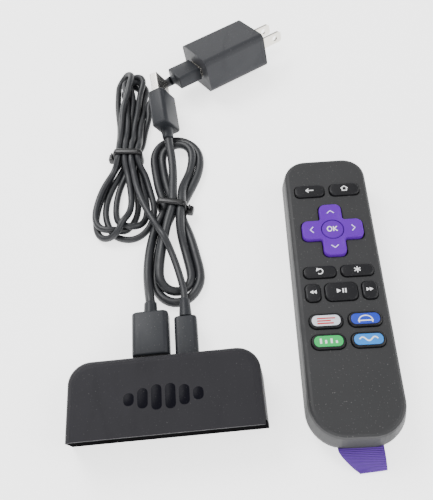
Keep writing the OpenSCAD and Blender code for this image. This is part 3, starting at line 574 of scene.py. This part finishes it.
# Video lead: from the player's plug, two and a half turns through the tie, to the far plug
video_route = [
    (-6.2, 48.0, 8.6), (-6.6, 52, 8.2), (-7.3, 58, 6.4), (-7.6, 64, 5.2), (-7.4, 72.3, 5),
    (-6.4, 81, 4.4), (-4.6, 89.4, 3.4), (-2.4, 97.9, 3), VIDEO_TIE.point(-4.7, ON), (-0.5, 120.2, LO),
    (-1.8, 129.4, LO), (-2.7, 138.5, LO), (-2.2, 145.6, LO), (0.2, 150.6, LO), (4.2, 153.4, LO),
    (9.2, 154, LO), (14.3, 152.6, LO), (18.4, 149.4, LO), (21.2, 143.6, LO), (22, 136.7, LO),
    (20.9, 129.7, LO), (17.8, 121.8, LO), (14.2, 114.8, LO), VIDEO_TIE.point(4.7, ON), (11, 99, LO),
    (12.6, 91, LO), (14.4, 82.7, LO), (16.1, 74.1, LO), (17, 66.3, LO), (16.7, 60.2, LO), (15, 55.2, LO),
    (11.8, 51.6, LO), (7.4, 50.1, LO), (3, 50.6, LO), (-0.8, 53.6, LO), (-3.2, 58.3, LO),
    (-4.1, 64.2, LO), (-3.5, 71.9, LO), (-2.1, 80.7, LO), (0, 89.6, LO), (2.4, 97.5, 2.8),
    VIDEO_TIE.point(0, ON), (3, 121.9, LO), (2, 131.5, LO), (2, 139, LO), (3.4, 144.8, 4.4),
    (6.3, 148.6, 5.9), (10.4, 149.6, 6.1), (14.2, 148, 5.8), (17, 144.2, 4.4), (18, 138.6, 3.4),
    (17.5, 132, 3.2), (15.6, 125.9, 3.2), (12.6, 119.3, 4.4), VIDEO_TIE.point(4.9, HIGH), (9.9, 99, 6.2),
    (10.6, 91.5, 4.2), (12, 81.5, LO), (13.2, 73, LO), (13.4, 66, LO), (12.3, 60.2, LO), (9.8, 56.2, LO),
    (6.6, 54.8, LO), (3.2, 56, LO), (0.6, 59.6, 3.6), (-1, 65, 5.4), (-1.2, 71.5, 6), (-0.3, 79, 6),
    (1.3, 87, 5.8), (3.1, 94.4, 6.4), (4.7, 100.6, 7.4), VIDEO_TIE.point(0.3, HIGH), (7, 117, 7.6),
    (7.5, 124, 7.3), (7.5, 132, 7.2), (7, 140, 7.4), (6.5, 146.3, 8.2), (6.1, 149.9, 9.0)]

LOW, FOOT, MIDDLE, CROWN_Z = FLOOR_POWER, 2.9, 5.93, 8.96

# Power lead: from the player's plug over the video lead to the tie, four loops above and four below it
power_route = [
    (10, 48.9, 7.25), (9.9, 53, 7.3), (9.1, 58, 7.4), (7.7, 65, 7.5), (6, 72, 7.6), (3.8, 79, 7.6),
    (1.1, 86, 7.7), (-2, 93, 7.6), (-5.2, 99.5, 7.4), (-8, 106, 7.6), (-10.4, 113, 7.8),
    (-12.2, 120, 7.6), (-13.6, 128, 7), (-14.6, 135, 6.2), POWER_TIE.point(1.75, CROWN_Z),
    (-13.2, 157, 4.9), (-12.1, 170, 4.9), (-10.9, 183, 5), (-9.6, 195, 5.2), (-9.8, 203, 5.4),
    (-12.6, 207.4, 5.6), (-16, 206.4, 5.4), (-17.6, 200, 5.1), (-17.5, 190, 5), (-17.4, 176, 4.9),
    (-17.8, 160, 4.8), POWER_TIE.point(-1.75, CROWN_Z), (-17.4, 131, 5.6), (-16.1, 121, 6),
    (-15.4, 112, 6.2), (-16, 104.6, 6.2), (-18.6, 98.4, 6), (-22.6, 93.8, 5.2), (-27, 91.2, 3.4),
    (-31.2, 91.6, LOW), (-34, 96.2, LOW), (-35, 102.7, LOW), (-34.5, 109.5, LOW), (-32.8, 117, LOW),
    (-30, 124.8, LOW), (-26.9, 132.6, LOW), (-24.4, 139, 2.2), POWER_TIE.point(-3.5, MIDDLE),
    (-22.2, 157, LOW), (-22, 166, LOW), (-23, 175.4, LOW), (-23.8, 187, LOW), (-23.3, 197, LOW),
    (-21.4, 204.6, 2), (-18.4, 208.4, 3), (-15.6, 207.2, 4.8), (-14.8, 202, 7.4), (-15.6, 195, 8.6),
    (-17.2, 187, 8.4), (-19.2, 178, 7), (-20.6, 169, 6.2), (-21.4, 159, 5.4),
    POWER_TIE.point(-5.25, CROWN_Z), (-24.2, 136, 5), (-26.9, 130.6, 4.8), (-30, 124.4, 4.7),
    (-32.7, 117, 4.6), (-34.3, 109.6, 4.6), (-34.7, 103.4, 4.6), (-33.3, 98.8, 4.6), (-30.4, 95.9, 4.4),
    (-26.4, 94.4, 3), (-21.9, 94.8, LOW), (-17.6, 97.6, LOW), (-14.2, 102, LOW), (-12.7, 108, LOW),
    (-12.7, 114.4, LOW), (-13.4, 122.6, LOW), (-14.3, 131.2, LOW), POWER_TIE.point(3.5, MIDDLE),
    (-13.2, 156, LOW), (-12.4, 168, LOW), (-11.8, 182, LOW), (-11.5, 193, LOW), (-12.2, 200, LOW),
    (-14.2, 203.4, LOW), (-16.4, 202, LOW), (-17.6, 196, LOW), (-18, 186, LOW), (-18.4, 172, LOW),
    (-19, 158, LOW), POWER_TIE.point(-1.75, FOOT), (-22.3, 133, LOW), (-24.9, 128.6, LOW),
    (-27.4, 122.6, LOW), (-29.2, 116.2, LOW), (-30, 109.6, LOW), (-29.4, 103, LOW), (-27, 97.4, LOW),
    (-22.6, 92.2, LOW), (-17, 89.8, LOW), (-11.7, 91.4, LOW), (-7.4, 95.8, LOW), (-4.6, 102.2, LOW),
    (-4, 109.6, LOW), (-5.4, 117.6, LOW), (-7.8, 126.1, 2.6), (-10.2, 134.2, 4.2),
    POWER_TIE.point(5.25, CROWN_Z), (-10.6, 157, 3.4), (-9.6, 168, 2.4), (-8.9, 178, LOW),
    (-8.5, 188.4, LOW), (-8.8, 196.6, LOW), (-10, 202, 2.6), (-12, 204, 5.3), (-13.8, 202, 6.4),
    (-14.1, 195, 5.8), (-14.3, 184, 4.2), (-14.8, 172, LOW), (-15.7, 158, LOW),
    POWER_TIE.point(0, MIDDLE), (-19.3, 132.6, LOW), (-21.5, 126.6, LOW), (-23.3, 119.9, LOW),
    (-24.3, 112.6, LOW), (-24.2, 106, LOW), (-22.4, 100.6, 3), (-19, 96.8, 5), (-14.9, 96, 4.6),
    (-11.1, 98.4, 2.8), (-8.5, 103, LOW), (-7.9, 109, LOW), (-8.5, 116, LOW), (-9.6, 124, LOW),
    (-10.6, 132.6, LOW), POWER_TIE.point(1.75, FOOT), (-10.4, 155, LOW), (-9.4, 162, LOW),
    (-8.4, 169.6, LOW), (-7.4, 175.6, 2.5), (-6, 180.4, 3.4), (-4.2, 184.2, 4.4), (-2, 187.2, 5.5),
    (0.4, 189.6, 6.7), (2.7, 191.1, 8), (4.9, 191.8, 9.5), (6.9, 191.8, 11.1), (8.6, 191.3, 12.6),
    (9.97, 191.15, 13.53)]


def rest_cord(route, d, tie, half_width, end_held, **settings):
    """Centreline of a cord in millimetres: the route smoothed and settled, held at its ends and its tie."""
    line = along(route, d/2)
    held = tie.holds(line, half_width, 0.3*d)
    held[:3] = True
    held[-end_held:] = True
    return settle(line, d, held, **settings)


def tube(name, line, radius, material, around=14):
    """Round tube along a line in millimetres: rings square to it, sides from the line and the upright."""
    ahead = np.gradient(line, axis=0)
    ahead /= np.linalg.norm(ahead, axis=1)[:, None]
    side = np.cross(ahead, (0, 0, 1))
    side /= np.linalg.norm(side, axis=1)[:, None]
    upper = np.cross(side, ahead)
    t = np.linspace(0, 2*math.pi, around, endpoint=False)
    rings = line[:, None, :] + radius*(np.cos(t)[None, :, None]*side[:, None, :]
                                       + np.sin(t)[None, :, None]*upper[:, None, :])
    run = np.concatenate([[0], np.cumsum(np.linalg.norm(np.diff(line, axis=0), axis=1))])
    uv = np.stack(np.broadcast_arrays(run[:, None]*MM, (t/(2*math.pi))[None, :]), -1)
    return add_surface(name, rings*MM, material, uv=uv)


video_line = rest_cord(video_route, VIDEO_D, VIDEO_TIE, 9, 3)
power_line = rest_cord(power_route, POWER_D, POWER_TIE, 9.5, 10, rounds=220, blockers=video_line,
                       reach=(VIDEO_D + POWER_D)/2)
CORD = MATERIALS["cord_black"]
video_cord = tube("video_cord", video_line, VIDEO_D/2, CORD, 18)
power_cord = tube("power_cord", power_line, POWER_D/2, CORD, 14)
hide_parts("hdmi_near_lead", "hdmi_hank", "hdmi_far_lead")
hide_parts("power_lead", "power_hank", "supply_lead")
for cord_piece in (video_cord, power_cord):
    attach(cord_piece, "leads")


# ---- plugs ----

PLUG = MATERIALS["plug_black"]
BOOT_STEP = 0.5


def plug_body(name, node_name, origin, ahead, across, w, h, r, length, boot, edge):
    """Plug grip and strain relief as one loft: an eased bar, a small fillet, then a boot tapering to the cord.
    boot is (its length, its first radius, its last radius)."""
    boot_l, boot_a, boot_b = boot
    bar = eased(0, length, w, h, r, edge)
    t = np.linspace(0, 1, 7)
    fillet = [(length + 0.01, 2*boot_a + 1.6, 2*boot_a + 1.2, boot_a*0.9),
              (length + BOOT_STEP, 2*boot_a + 0.2, 2*boot_a + 0.2, boot_a + 0.1)]
    taper = [(length + BOOT_STEP + s*(boot_l - BOOT_STEP - 0.4), 2*(boot_a + (boot_b - boot_a)*s),
              2*(boot_a + (boot_b - boot_a)*s), boot_a + (boot_b - boot_a)*s) for s in t]
    tip = [(length + boot_l, 2*boot_b - 0.8, 2*boot_b - 0.8, boot_b - 0.4)]
    body = add_surface(name, loft(bar + fillet + taper + tip, origin, ahead, across), PLUG, sharp_deg=50)
    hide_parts(node_name)
    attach(body, "leads")
    return body


near_box = [v/MM for v in np.ravel(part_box("hdmi_plug_grip"))]
micro_box = [v/MM for v in np.ravel(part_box("power_plug_grip"))]
video_near_plug = plug_body("video_near_plug", "hdmi_plug_grip",
                            ((near_box[0] + near_box[3])/2, near_box[1], 8.6),
                            (0, 1, 0), (1, 0, 0), 17, 10, 2.6, 22, (6.4, 3.3, 3.0), 1.0)
power_plug = plug_body("power_plug", "power_plug_grip", ((micro_box[0] + micro_box[3])/2, micro_box[1], 7.25),
                       (0, 1, 0), (1, 0, 0), 10.6, 7.2, 2.0, 20.4, (10, 3.1, 2.4), 0.9)

# Far video plug: nose up 13 degrees, rolled 66 degrees, heading 4.4 degrees
FAR_TAIL = np.array([5.6, 156.4, 10.6])
far_ahead = direction(4.4, 13)
flat_side = np.array([math.cos(math.radians(4.4)), math.sin(math.radians(4.4)), 0.0])
far_up = np.cross(flat_side, far_ahead)
far_across = math.cos(math.radians(66))*flat_side - math.sin(math.radians(66))*far_up
FAR_GRIP_L = 22
video_far_plug = plug_body("video_far_plug", "hdmi_far_grip", FAR_TAIL + FAR_GRIP_L*far_ahead, -far_ahead,
                           far_across, 17, 10, 2.6, FAR_GRIP_L, (6.4, 3.3, 3.0), 1.0)

# Power supply's plug, square to the adapter's socket face
ADAPTER_HEADING = 26.8
ADAPTER_ROLL = -14.0
adapter_ahead = direction(ADAPTER_HEADING - 90)
adapter_flat = direction(ADAPTER_HEADING)
roll = math.radians(ADAPTER_ROLL)
adapter_side = math.cos(roll)*adapter_flat + math.sin(roll)*np.array([0, 0, 1.0])
SOCKET_AT = np.array([25.5, 199, 13.53])
supply_plug = plug_body("supply_plug", "supply_plug_grip", SOCKET_AT - 1.0*adapter_ahead, -adapter_ahead,
                        adapter_side, 15.4, 7.8, 1.6, 14.2, (2.2, 3.0, 2.5), 0.8)

BOOT_POINTS = 6
boot_run = power_line[-BOOT_POINTS:]
supply_boot = tube("supply_boot", boot_run, np.linspace(2.1, 2.75, BOOT_POINTS)[:, None, None], PLUG)
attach(supply_boot, "leads")

# ---- cable ties ----

TIE = MATERIALS["tie_black"]


def cable_tie(name, node_name, tie, width, height, head_side):
    """Nylon tie: a strap swept round a rounded box of strands, and a lock head with a short cut tail."""
    outline = rounded_outline(width + 1.1, height + 1.1, 2.2, 8)
    t, lift = 0.55, height/2 + 0.6
    n = len(outline)
    ahead = np.roll(outline, -1, 0) - np.roll(outline, 1, 0)
    out = np.column_stack([ahead[:, 1], -ahead[:, 0]])
    out /= np.linalg.norm(out, axis=1)[:, None]
    band = 1.55
    section = np.array([(-t, -band), (-t*0.3, -band - 0.15), (t*0.6, -band), (t, -band*0.5), (t, band*0.5),
                        (t*0.6, band), (-t*0.3, band + 0.15), (-t, band)])
    rim = outline[:, None, :] + section[None, :, :1]*out[:, None, :]
    x, z, y = rim[..., 0], rim[..., 1] + lift + t, np.broadcast_to(section[None, :, 1], (n, len(section)))
    place = tie.at + x[..., None]*tie.u + y[..., None]*tie.v
    rings = np.concatenate([place, z[..., None]], -1)
    rings = np.concatenate([rings, rings[:1]])*MM
    strap = add_surface(name, rings, TIE, caps=False, sharp_deg=60)
    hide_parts(node_name)
    at = tie.point(head_side*(width/2 + 2.4), 4.3, -2.1)
    side, run = (*tie.u, 0), (*tie.v, 0)
    head = add_surface(name + "_head", loft(eased(0, 4.2, 3.6, 4.2, 1.0, 0.6), at, run, side), TIE)
    tail_at = tie.point(head_side*(width/2 + 2.2), 6.9)
    tail = add_surface(name + "_tail", loft(eased(0, 1.6, 1.0, 2.4, 0.4, 0.2), tail_at, (0, 0, 1), side), TIE)
    for piece in (strap, head, tail):
        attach(piece, "leads")


cable_tie("video_tie", "hdmi_tie", VIDEO_TIE, 14.2, 9.4, 1)
cable_tie("power_tie_band", "power_tie", POWER_TIE, 14.2, 9.7, -1)

# ---- keys ----

REMOTE_AT = np.array([83.9, 72.5])
REMOTE_TURN = math.radians(-2.8)
ACROSS = np.array([math.cos(REMOTE_TURN), math.sin(REMOTE_TURN)])
UPWARD = np.array([-ACROSS[1], ACROSS[0]])
KEY_TOP = 19.3
CROWN = 0.35


def on_remote(points, middle=(0.0, 0.0)):
    """Points (x, y, z) of the remote's own axes, from a middle, to the frame."""
    p = np.asarray(points, float)
    flat = REMOTE_AT + (p[..., :1] + middle[0])*ACROSS + (p[..., 1:2] + middle[1])*UPWARD
    return np.concatenate([flat, p[..., 2:]], -1)


def dome(x, y, half_w, half_d, top, crown=CROWN):
    """Height of a crowned key: lower towards its edges by the square of the distance."""
    return top - crown*np.clip((x/half_w)**2 + (y/half_d)**2, 0, 1.6)*0.5


def key_middle(node_name):
    """Middle of a key in the remote's axes, from its CAD box."""
    low, high = (np.array(v)/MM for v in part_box(node_name))
    offset = (low[:2] + high[:2])/2 - REMOTE_AT
    return offset @ ACROSS, offset @ UPWARD


def key_cap(name, w, d, r, top, foot, middle, material, body, edge=0.7, crown=CROWN, node_name=None):
    """Soft key: upright wall, quarter-round shoulder, then rings shrinking to the middle over the crown."""
    a = np.linspace(0, math.pi/2, 6)
    wall = [(foot, 0.0)] + [(None, edge*(1 - math.cos(t)), edge*(1 - math.sin(t))) for t in a]
    rings = []
    for item in wall:
        inset = item[1]
        flat = rounded_outline(w - 2*inset, d - 2*inset, r - inset*0.8)
        surface = dome(flat[:, 0], flat[:, 1], w/2, d/2, top, crown)
        z = np.full(len(flat), foot) if item[0] is not None else surface - item[2]
        rings.append(np.column_stack([flat, z]))
    for s in (0.85, 0.65, 0.45, 0.25, 0.06):
        flat = rounded_outline(w - 2*edge, d - 2*edge, r - edge*0.8)*s
        rings.append(np.column_stack([flat, dome(flat[:, 0], flat[:, 1], w/2, d/2, top, crown)]))
    cap = add_surface(name, on_remote(np.array(rings), middle)*MM, material, sharp_deg=55)
    if node_name:
        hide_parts(node_name)
    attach(cap, body)
    return cap


def stroke(name, points, width, middle, size, top, material, body, crown=CROWN, lift=0.04, dense=5):
    """Printed line on a key: a thin strip with square ends that follows the crowned top. width may change
    from the first point to the last, which makes a solid arrowhead."""
    p = np.asarray(points, float)
    t = np.linspace(0, len(p) - 1, (len(p) - 1)*dense + 1)
    line = np.column_stack([np.interp(t, np.arange(len(p)), p[:, k]) for k in (0, 1)])
    ahead = np.gradient(line, axis=0)
    ahead /= np.linalg.norm(ahead, axis=1)[:, None] + 1e-9
    side = np.column_stack([-ahead[:, 1], ahead[:, 0]])
    half = np.interp(t, [0, len(p) - 1], np.broadcast_to(width, 2))[:, None]/2
    left, right = line - half*side, line + half*side
    ring = np.stack([left, right, right, left], 1)
    z = dome(ring[..., 0], ring[..., 1], size[0]/2, size[1]/2, top, crown)
    z = z + np.array([lift, lift, -0.08, -0.08])
    rings = on_remote(np.concatenate([ring, z[..., None]], -1), middle)*MM
    mark = add_surface(name, rings, material, sharp_deg=30)
    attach(mark, body)
    return mark


def arc(radius, start, stop, steps=14, cx=0.0, cy=0.0, squash=1.0):
    """Points of an arc between two angles in degrees."""
    t = np.radians(np.linspace(start, stop, steps))
    return np.column_stack([cx + radius*np.cos(t), cy + radius*squash*np.sin(t)])


KEY = MATERIALS["key_black"]
PAD = MATERIALS["violet_pad"]
KEY_FOOT = 15.6
KEY_SIZES = {
    "back_key": (14.6, 7.2, 2.9), "home_key": (14.6, 7.2, 2.9), "replay_key": (15, 6.2, 2.7),
    "options_key": (15, 6.2, 2.7), "rewind_key": (6.8, 9.2, 2.5), "play_pause_key": (14.8, 9.4, 3),
    "fast_forward_key": (6.8, 9.2, 2.5), "app_key_1": (14.8, 7.2, 3.2), "app_key_2": (14.8, 7.2, 3.2),
    "app_key_3": (14.8, 7.2, 3.2), "app_key_4": (14.8, 7.2, 3.2)}
MARKS_ON_KEYS = {
    "back_key": [([(1.9, 0), (-1.6, 0)], 0.5), ([(-0.5, 1.1), (-1.8, 0), (-0.5, -1.1)], 0.5)],
    "home_key": [([(-1.7, 0.1), (0, 1.5), (1.7, 0.1)], 0.5),
                 ([(-1.1, 0.3), (-1.1, -1.2), (1.1, -1.2), (1.1, 0.3)], 0.5)],
    "replay_key": [(arc(1.35, 140, -130), 0.45), ([(-0.6, 1.5), (-1.7, 0.1)], (1.7, 0.1))],
    "options_key": [([(0, 1.6), (0, -1.6)], 0.5), ([(1.4, 0.8), (-1.4, -0.8)], 0.5),
                    ([(1.4, -0.8), (-1.4, 0.8)], 0.5)],
    "rewind_key": [([(0.1, 0), (-1.4, 0)], (1.9, 0.1)), ([(1.6, 0), (0.1, 0)], (1.9, 0.1))],
    "fast_forward_key": [([(-0.1, 0), (1.4, 0)], (1.9, 0.1)), ([(-1.6, 0), (-0.1, 0)], (1.9, 0.1))],
    "play_pause_key": [([(-2.1, 0), (-0.3, 0)], (2.2, 0.1)), ([(0.7, 1.1), (0.7, -1.1)], 0.6),
                       ([(1.9, 1.1), (1.9, -1.1)], 0.6)]}
APP_KEYS = {
    "app_key_1": (CAP_WHITE, INK_RED, [([(-4, 0.9), (4, 0.9)], 0.6), ([(-4, -0.3), (2, -0.3)], 0.6),
                                       ([(-4, -1.5), (3.2, -1.5)], 0.6)]),
    "app_key_2": (CAP_BLUE, INK_WHITE, [(arc(3, 200, -20, 16, 0, -1.1, 0.8), 0.5),
                                        ([(-3.4, -1.1), (3.4, -1.1)], 0.5)]),
    "app_key_3": (CAP_GREEN, INK_WHITE, [([(-3.4, -1.2), (-3.4, 1.2)], 0.9),
                                         ([(-1.2, -1.2), (-1.2, 0.4)], 0.9),
                                         ([(1.2, -1.2), (1.2, 1.0)], 0.9), ([(3.4, -1.2), (3.4, 0)], 0.9)]),
    "app_key_4": (CAP_SKY, INK_WHITE, [(np.column_stack([np.linspace(-4, 4, 17),
                                                         0.9*np.sin(np.linspace(0, 9.4, 17))]),
                                        0.6)])}

for key, (w, d, r) in KEY_SIZES.items():
    middle = key_middle(key)
    key_cap(key + "_cap", w, d, r, KEY_TOP, KEY_FOOT, middle, KEY, key, node_name=key)
    for number, (points, width) in enumerate(MARKS_ON_KEYS.get(key, [])):
        stroke(f"{key}_mark_{number}", points, width, middle, (w, d), KEY_TOP, INK_WHITE, key)
    if key in APP_KEYS:
        face, ink, marks = APP_KEYS[key]
        key_cap(key + "_face", w - 2.2, d - 2.0, r - 0.9, KEY_TOP + 0.22, KEY_TOP - 0.6, middle, face, key,
                edge=0.25)
        for number, (points, width) in enumerate(marks):
            stroke(f"{key}_mark_{number}", points, width, middle, (w - 2.2, d - 2.0), KEY_TOP + 0.22, ink, key)

# ---- arrow pad ----

PAD_SPAN, PAD_ARM, PAD_TOP, PAD_FOOT = 29.0, 10.7, 19.8, 15.4
OK_R, OK_TOP = 5.2, 19.7


def plus_outline(span, arm, r, inset, k=6):
    """Plus shape, round at its twelve corners: quarter circles at the eight outer corners, small turned ones in the
    four inner corners."""
    s, a = span/2 - inset, arm/2 - inset
    outer, inner = max(r - inset*0.5, 0.3), 1.2 + inset*0.5
    t = np.linspace(0, math.pi/2, k)
    c, n = np.cos(t), np.sin(t)
    first = np.column_stack([s - outer + outer*c, a - outer + outer*n])
    bend = np.column_stack([a + inner - inner*np.sin(t), a + inner - inner*np.cos(t)])
    last = np.column_stack([a - outer + outer*c, s - outer + outer*n])
    arm_points = np.vstack([first, bend, last])
    turns = []
    for q in range(4):
        cs, sn = round(math.cos(q*math.pi/2)), round(math.sin(q*math.pi/2))
        turns.append(arm_points @ np.array([[cs, sn], [-sn, cs]]))
    return np.vstack(turns)


def arrow_pad():
    """Pad: plus-shaped wall and eased shoulder, a top that dips towards the middle, and a round well for the
    middle key, all as rings that shrink from the plus outline to a circle."""
    rings = []
    outline = plus_outline(PAD_SPAN, PAD_ARM, 3.0, 0)
    rings.append(np.column_stack([outline, np.full(len(outline), PAD_FOOT)]))
    for t in np.linspace(0, math.pi/2, 5):
        flat = plus_outline(PAD_SPAN, PAD_ARM, 3.0, 0.8*(1 - math.cos(t)))
        rings.append(np.column_stack([flat, np.full(len(flat), PAD_TOP - 0.8*(1 - math.sin(t)))]))
    edge_flat = plus_outline(PAD_SPAN, PAD_ARM, 3.0, 0.8)
    angle = np.arctan2(edge_flat[:, 1], edge_flat[:, 0])
    well = (OK_R + 0.35)*np.column_stack([np.cos(angle), np.sin(angle)])
    for s in (0.25, 0.5, 0.75, 1.0):
        flat = edge_flat*(1 - s) + well*s
        rings.append(np.column_stack([flat, np.full(len(flat), PAD_TOP - 0.5*math.sin(s*math.pi/2))]))
    rings.append(np.column_stack([well*0.985, np.full(len(well), PAD_TOP - 0.9)]))
    rings.append(np.column_stack([well*0.98, np.full(len(well), PAD_TOP - 2.2)]))
    piece = add_surface("arrow_pad_top", on_remote(np.array(rings))*MM, PAD, sharp_deg=50)
    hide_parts("arrow_pad")
    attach(piece, "arrow_pad")


arrow_pad()
key_cap("ok_key_cap", 2*OK_R, 2*OK_R, OK_R, OK_TOP, 17.0, (0, 0), PAD, "ok_key", edge=0.6,
        crown=0.5, node_name="ok_key")
for number, (points, width) in enumerate([
        (arc(1.05, 90, 450, 20, -1.45, 0, 1.25), 0.5), ([(0.45, 1.35), (0.45, -1.35)], 0.5),
        ([(2.1, 1.35), (0.75, 0.05)], 0.5), ([(0.75, 0.05), (2.2, -1.35)], 0.5)]):
    stroke(f"ok_mark_{number}", points, width, (0, 0), (2*OK_R, 2*OK_R), OK_TOP, INK_WHITE, "ok_key",
           crown=0.5)
CHEVRON = np.array([(-1.7, -0.75), (0, 0.75), (1.7, -0.75)])
for number in range(4):
    turn = number*math.pi/2
    spin = np.array([[math.cos(turn), math.sin(turn)], [-math.sin(turn), math.cos(turn)]])
    stroke(f"pad_chevron_{number}", (CHEVRON + (0, 9.9)) @ spin, 0.5, (0, 0), (60, 60), PAD_TOP - 0.16,
           INK_VIOLET, "arrow_pad", crown=0.1)

# ---- ribbon tag ----

TAG_LEFT, TAG_RIGHT = -8.8, 10.2
TAG_ROOT, LOW_END = -96.5, -100.7
TAG_LEFT_TIP, TAG_RIGHT_TIP = (-0.6, -109.4), (10.9, -108.4)
RIBBON_T = 0.45


def ribbon_tag():
    """Folded ribbon: across it the edges run from the slot to a slanted fold; along it the cloth goes out over the
    fold, drooping as the square of its way to the floor, and comes back below itself a little lower."""
    across = np.linspace(0, 1, 25)[None, :]
    out = np.concatenate([np.linspace(0, 1, 16), 1 + 0.02*np.sin(np.linspace(0, math.pi, 7))[1:-1],
                          np.linspace(1, 0, 16)])[:, None]
    layer = np.concatenate([np.zeros(16), np.linspace(0, 1, 7)[1:-1], np.ones(16)])[:, None]
    bulge = np.clip((out - 0.33)/0.67, 0, 1)
    left_x = TAG_LEFT + bulge**1.5*(TAG_LEFT_TIP[0] - TAG_LEFT)
    right_x = TAG_RIGHT + bulge*(TAG_RIGHT_TIP[0] - TAG_RIGHT)
    x = left_x*(1 - across) + right_x*across
    tip = TAG_LEFT_TIP[1]*(1 - across) + TAG_RIGHT_TIP[1]*across
    y = TAG_ROOT + out*(tip - TAG_ROOT)
    past = np.clip((LOW_END + 0.6 - y)/(LOW_END - TAG_LEFT_TIP[1]), 0, 1)
    z = 5.75 - 4.55*past**1.6 - 0.75*layer*(1 - 0.1*past) + 0.25*np.sin(across*7.0)*past*(1 - 0.6*past)
    z = np.maximum(z, 0.3 + RIBBON_T/2)
    grid = on_remote(np.stack(np.broadcast_arrays(x, y, z), -1))*MM
    rows, columns = grid.shape[:2]
    i, k = np.meshgrid(np.arange(rows - 1), np.arange(columns - 1), indexing="ij")
    quads = np.stack([i*columns + k, i*columns + k + 1, (i + 1)*columns + k + 1, (i + 1)*columns + k], -1)
    quads = quads.reshape(-1, 4)
    mesh = bpy.data.meshes.new("ribbon_tag")
    mesh.from_pydata(grid.reshape(-1, 3).tolist(), [], quads.tolist())
    run = np.concatenate([np.zeros((1, columns)),
                          np.cumsum(np.linalg.norm(np.diff(grid, axis=0), axis=2), axis=0)])/MM
    uv = np.stack(np.broadcast_arrays(x - TAG_LEFT, run), -1).reshape(-1, 2)
    corner = np.empty(len(mesh.loops), dtype=np.int32)
    mesh.loops.foreach_get("vertex_index", corner)
    mesh.uv_layers.new(name="UVMap").data.foreach_set("uv", uv[corner].ravel())
    mesh.polygons.foreach_set("use_smooth", np.ones(len(mesh.polygons), dtype=bool))
    mesh.materials.append(MATERIALS["violet_ribbon"])
    mesh.update()
    piece = bpy.data.objects.new("ribbon_tag", mesh)
    bpy.context.collection.objects.link(piece)
    thick = piece.modifiers.new("thickness", "SOLIDIFY")
    thick.thickness, thick.offset = RIBBON_T*MM, 0
    area = np.empty(len(mesh.polygons), dtype=np.float32)
    mesh.polygons.foreach_get("area", area)
    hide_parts("remote_tag")
    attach(piece, "battery_door")


ribbon_tag()

# ---- emblem on the player ----

PLAYER_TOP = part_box("top_shell")[1][2]/MM
EMBLEM_Y = -2.6
EMBLEM_BARS = ((-14.8, 5.6), (-8.9, 8.8), (-3.0, 11.0), (2.9, 11.0), (8.8, 8.8), (14.7, 5.6))
for number, (x, tall) in enumerate(EMBLEM_BARS):
    foot = (x, EMBLEM_Y, PLAYER_TOP - 0.04)
    bar = loft(eased(0, 0.07, 4.4, tall, 2.0, 0.02, 3), foot, (0, 0, 1), (1, 0, 0))
    piece = add_surface(f"emblem_bar_{number}", bar, EMBLEM_GLOSS)
    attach(piece, "player")

# ---- floor and light ----


def add_floor():
    x, y = np.meshgrid(np.linspace(-1.6, 1.6, 60), np.linspace(-1.6, 1.6, 60), indexing="ij")
    far = np.clip(np.hypot(x - 0.04, y - 0.05) - 0.9, 0, None)
    grid = np.stack([x, y, 0.35*far**2 - 0.0002], -1)
    rows, columns = grid.shape[:2]
    i, k = np.meshgrid(np.arange(rows - 1), np.arange(columns - 1), indexing="ij")
    quads = np.stack([i*columns + k, (i + 1)*columns + k, (i + 1)*columns + k + 1, i*columns + k + 1], -1)
    mesh = bpy.data.meshes.new("floor")
    mesh.from_pydata(grid.reshape(-1, 3).tolist(), [], quads.reshape(-1, 4).tolist())
    mesh.polygons.foreach_set("use_smooth", np.ones(len(mesh.polygons), dtype=bool))
    paint, tree, shader, where = blank_material("floor_paper")
    grain = use_group(tree, GRAIN, where, Scale=300.0)
    tree.links.new(mix_colour(tree, grain.outputs["Shade"], (0.86, 0.86, 0.86), (0.9, 0.9, 0.9)),
                   shader.inputs["Base Color"])
    shader.inputs["Roughness"].default_value = 0.9
    shader.inputs["Emission Color"].default_value = (1, 1, 1, 1)
    shader.inputs["Emission Strength"].default_value = 1.9
    mesh.materials.append(paint)
    floor = bpy.data.objects.new("floor", mesh)
    bpy.context.collection.objects.link(floor)


def add_lamp(name, at, target, size, watts):
    """Soft square lamp at a place, turned to a target."""
    data = bpy.data.lights.new(name, "AREA")
    data.size, data.energy = size, watts
    lamp = bpy.data.objects.new(name, data)
    z = np.array(at, float) - np.array(target, float)
    z /= np.linalg.norm(z)
    x = np.cross((0, 1, 0.01), z)
    x /= np.linalg.norm(x)
    turn = Matrix((tuple(x), tuple(np.cross(z, x)), tuple(z))).transposed().to_4x4()
    lamp.matrix_world = Matrix.Translation(at) @ turn
    bpy.context.collection.objects.link(lamp)


add_floor()
add_lamp("key_lamp", (-0.35, 0.55, 0.75), (0.03, 0.08, 0), 0.5, 9)
add_lamp("fill_lamp", (0.7, -0.1, 0.6), (0.03, 0.08, 0), 0.6, 5)
add_lamp("front_lamp", (-0.2, -0.7, 0.5), (0.03, 0.0, 0), 0.6, 4)
world = bpy.data.worlds.new("studio")
bpy.context.scene.world = world
world.use_nodes = True
world.node_tree.nodes["Background"].inputs["Color"].default_value = (1, 1, 1, 1)
world.node_tree.nodes["Background"].inputs["Strength"].default_value = 0.75
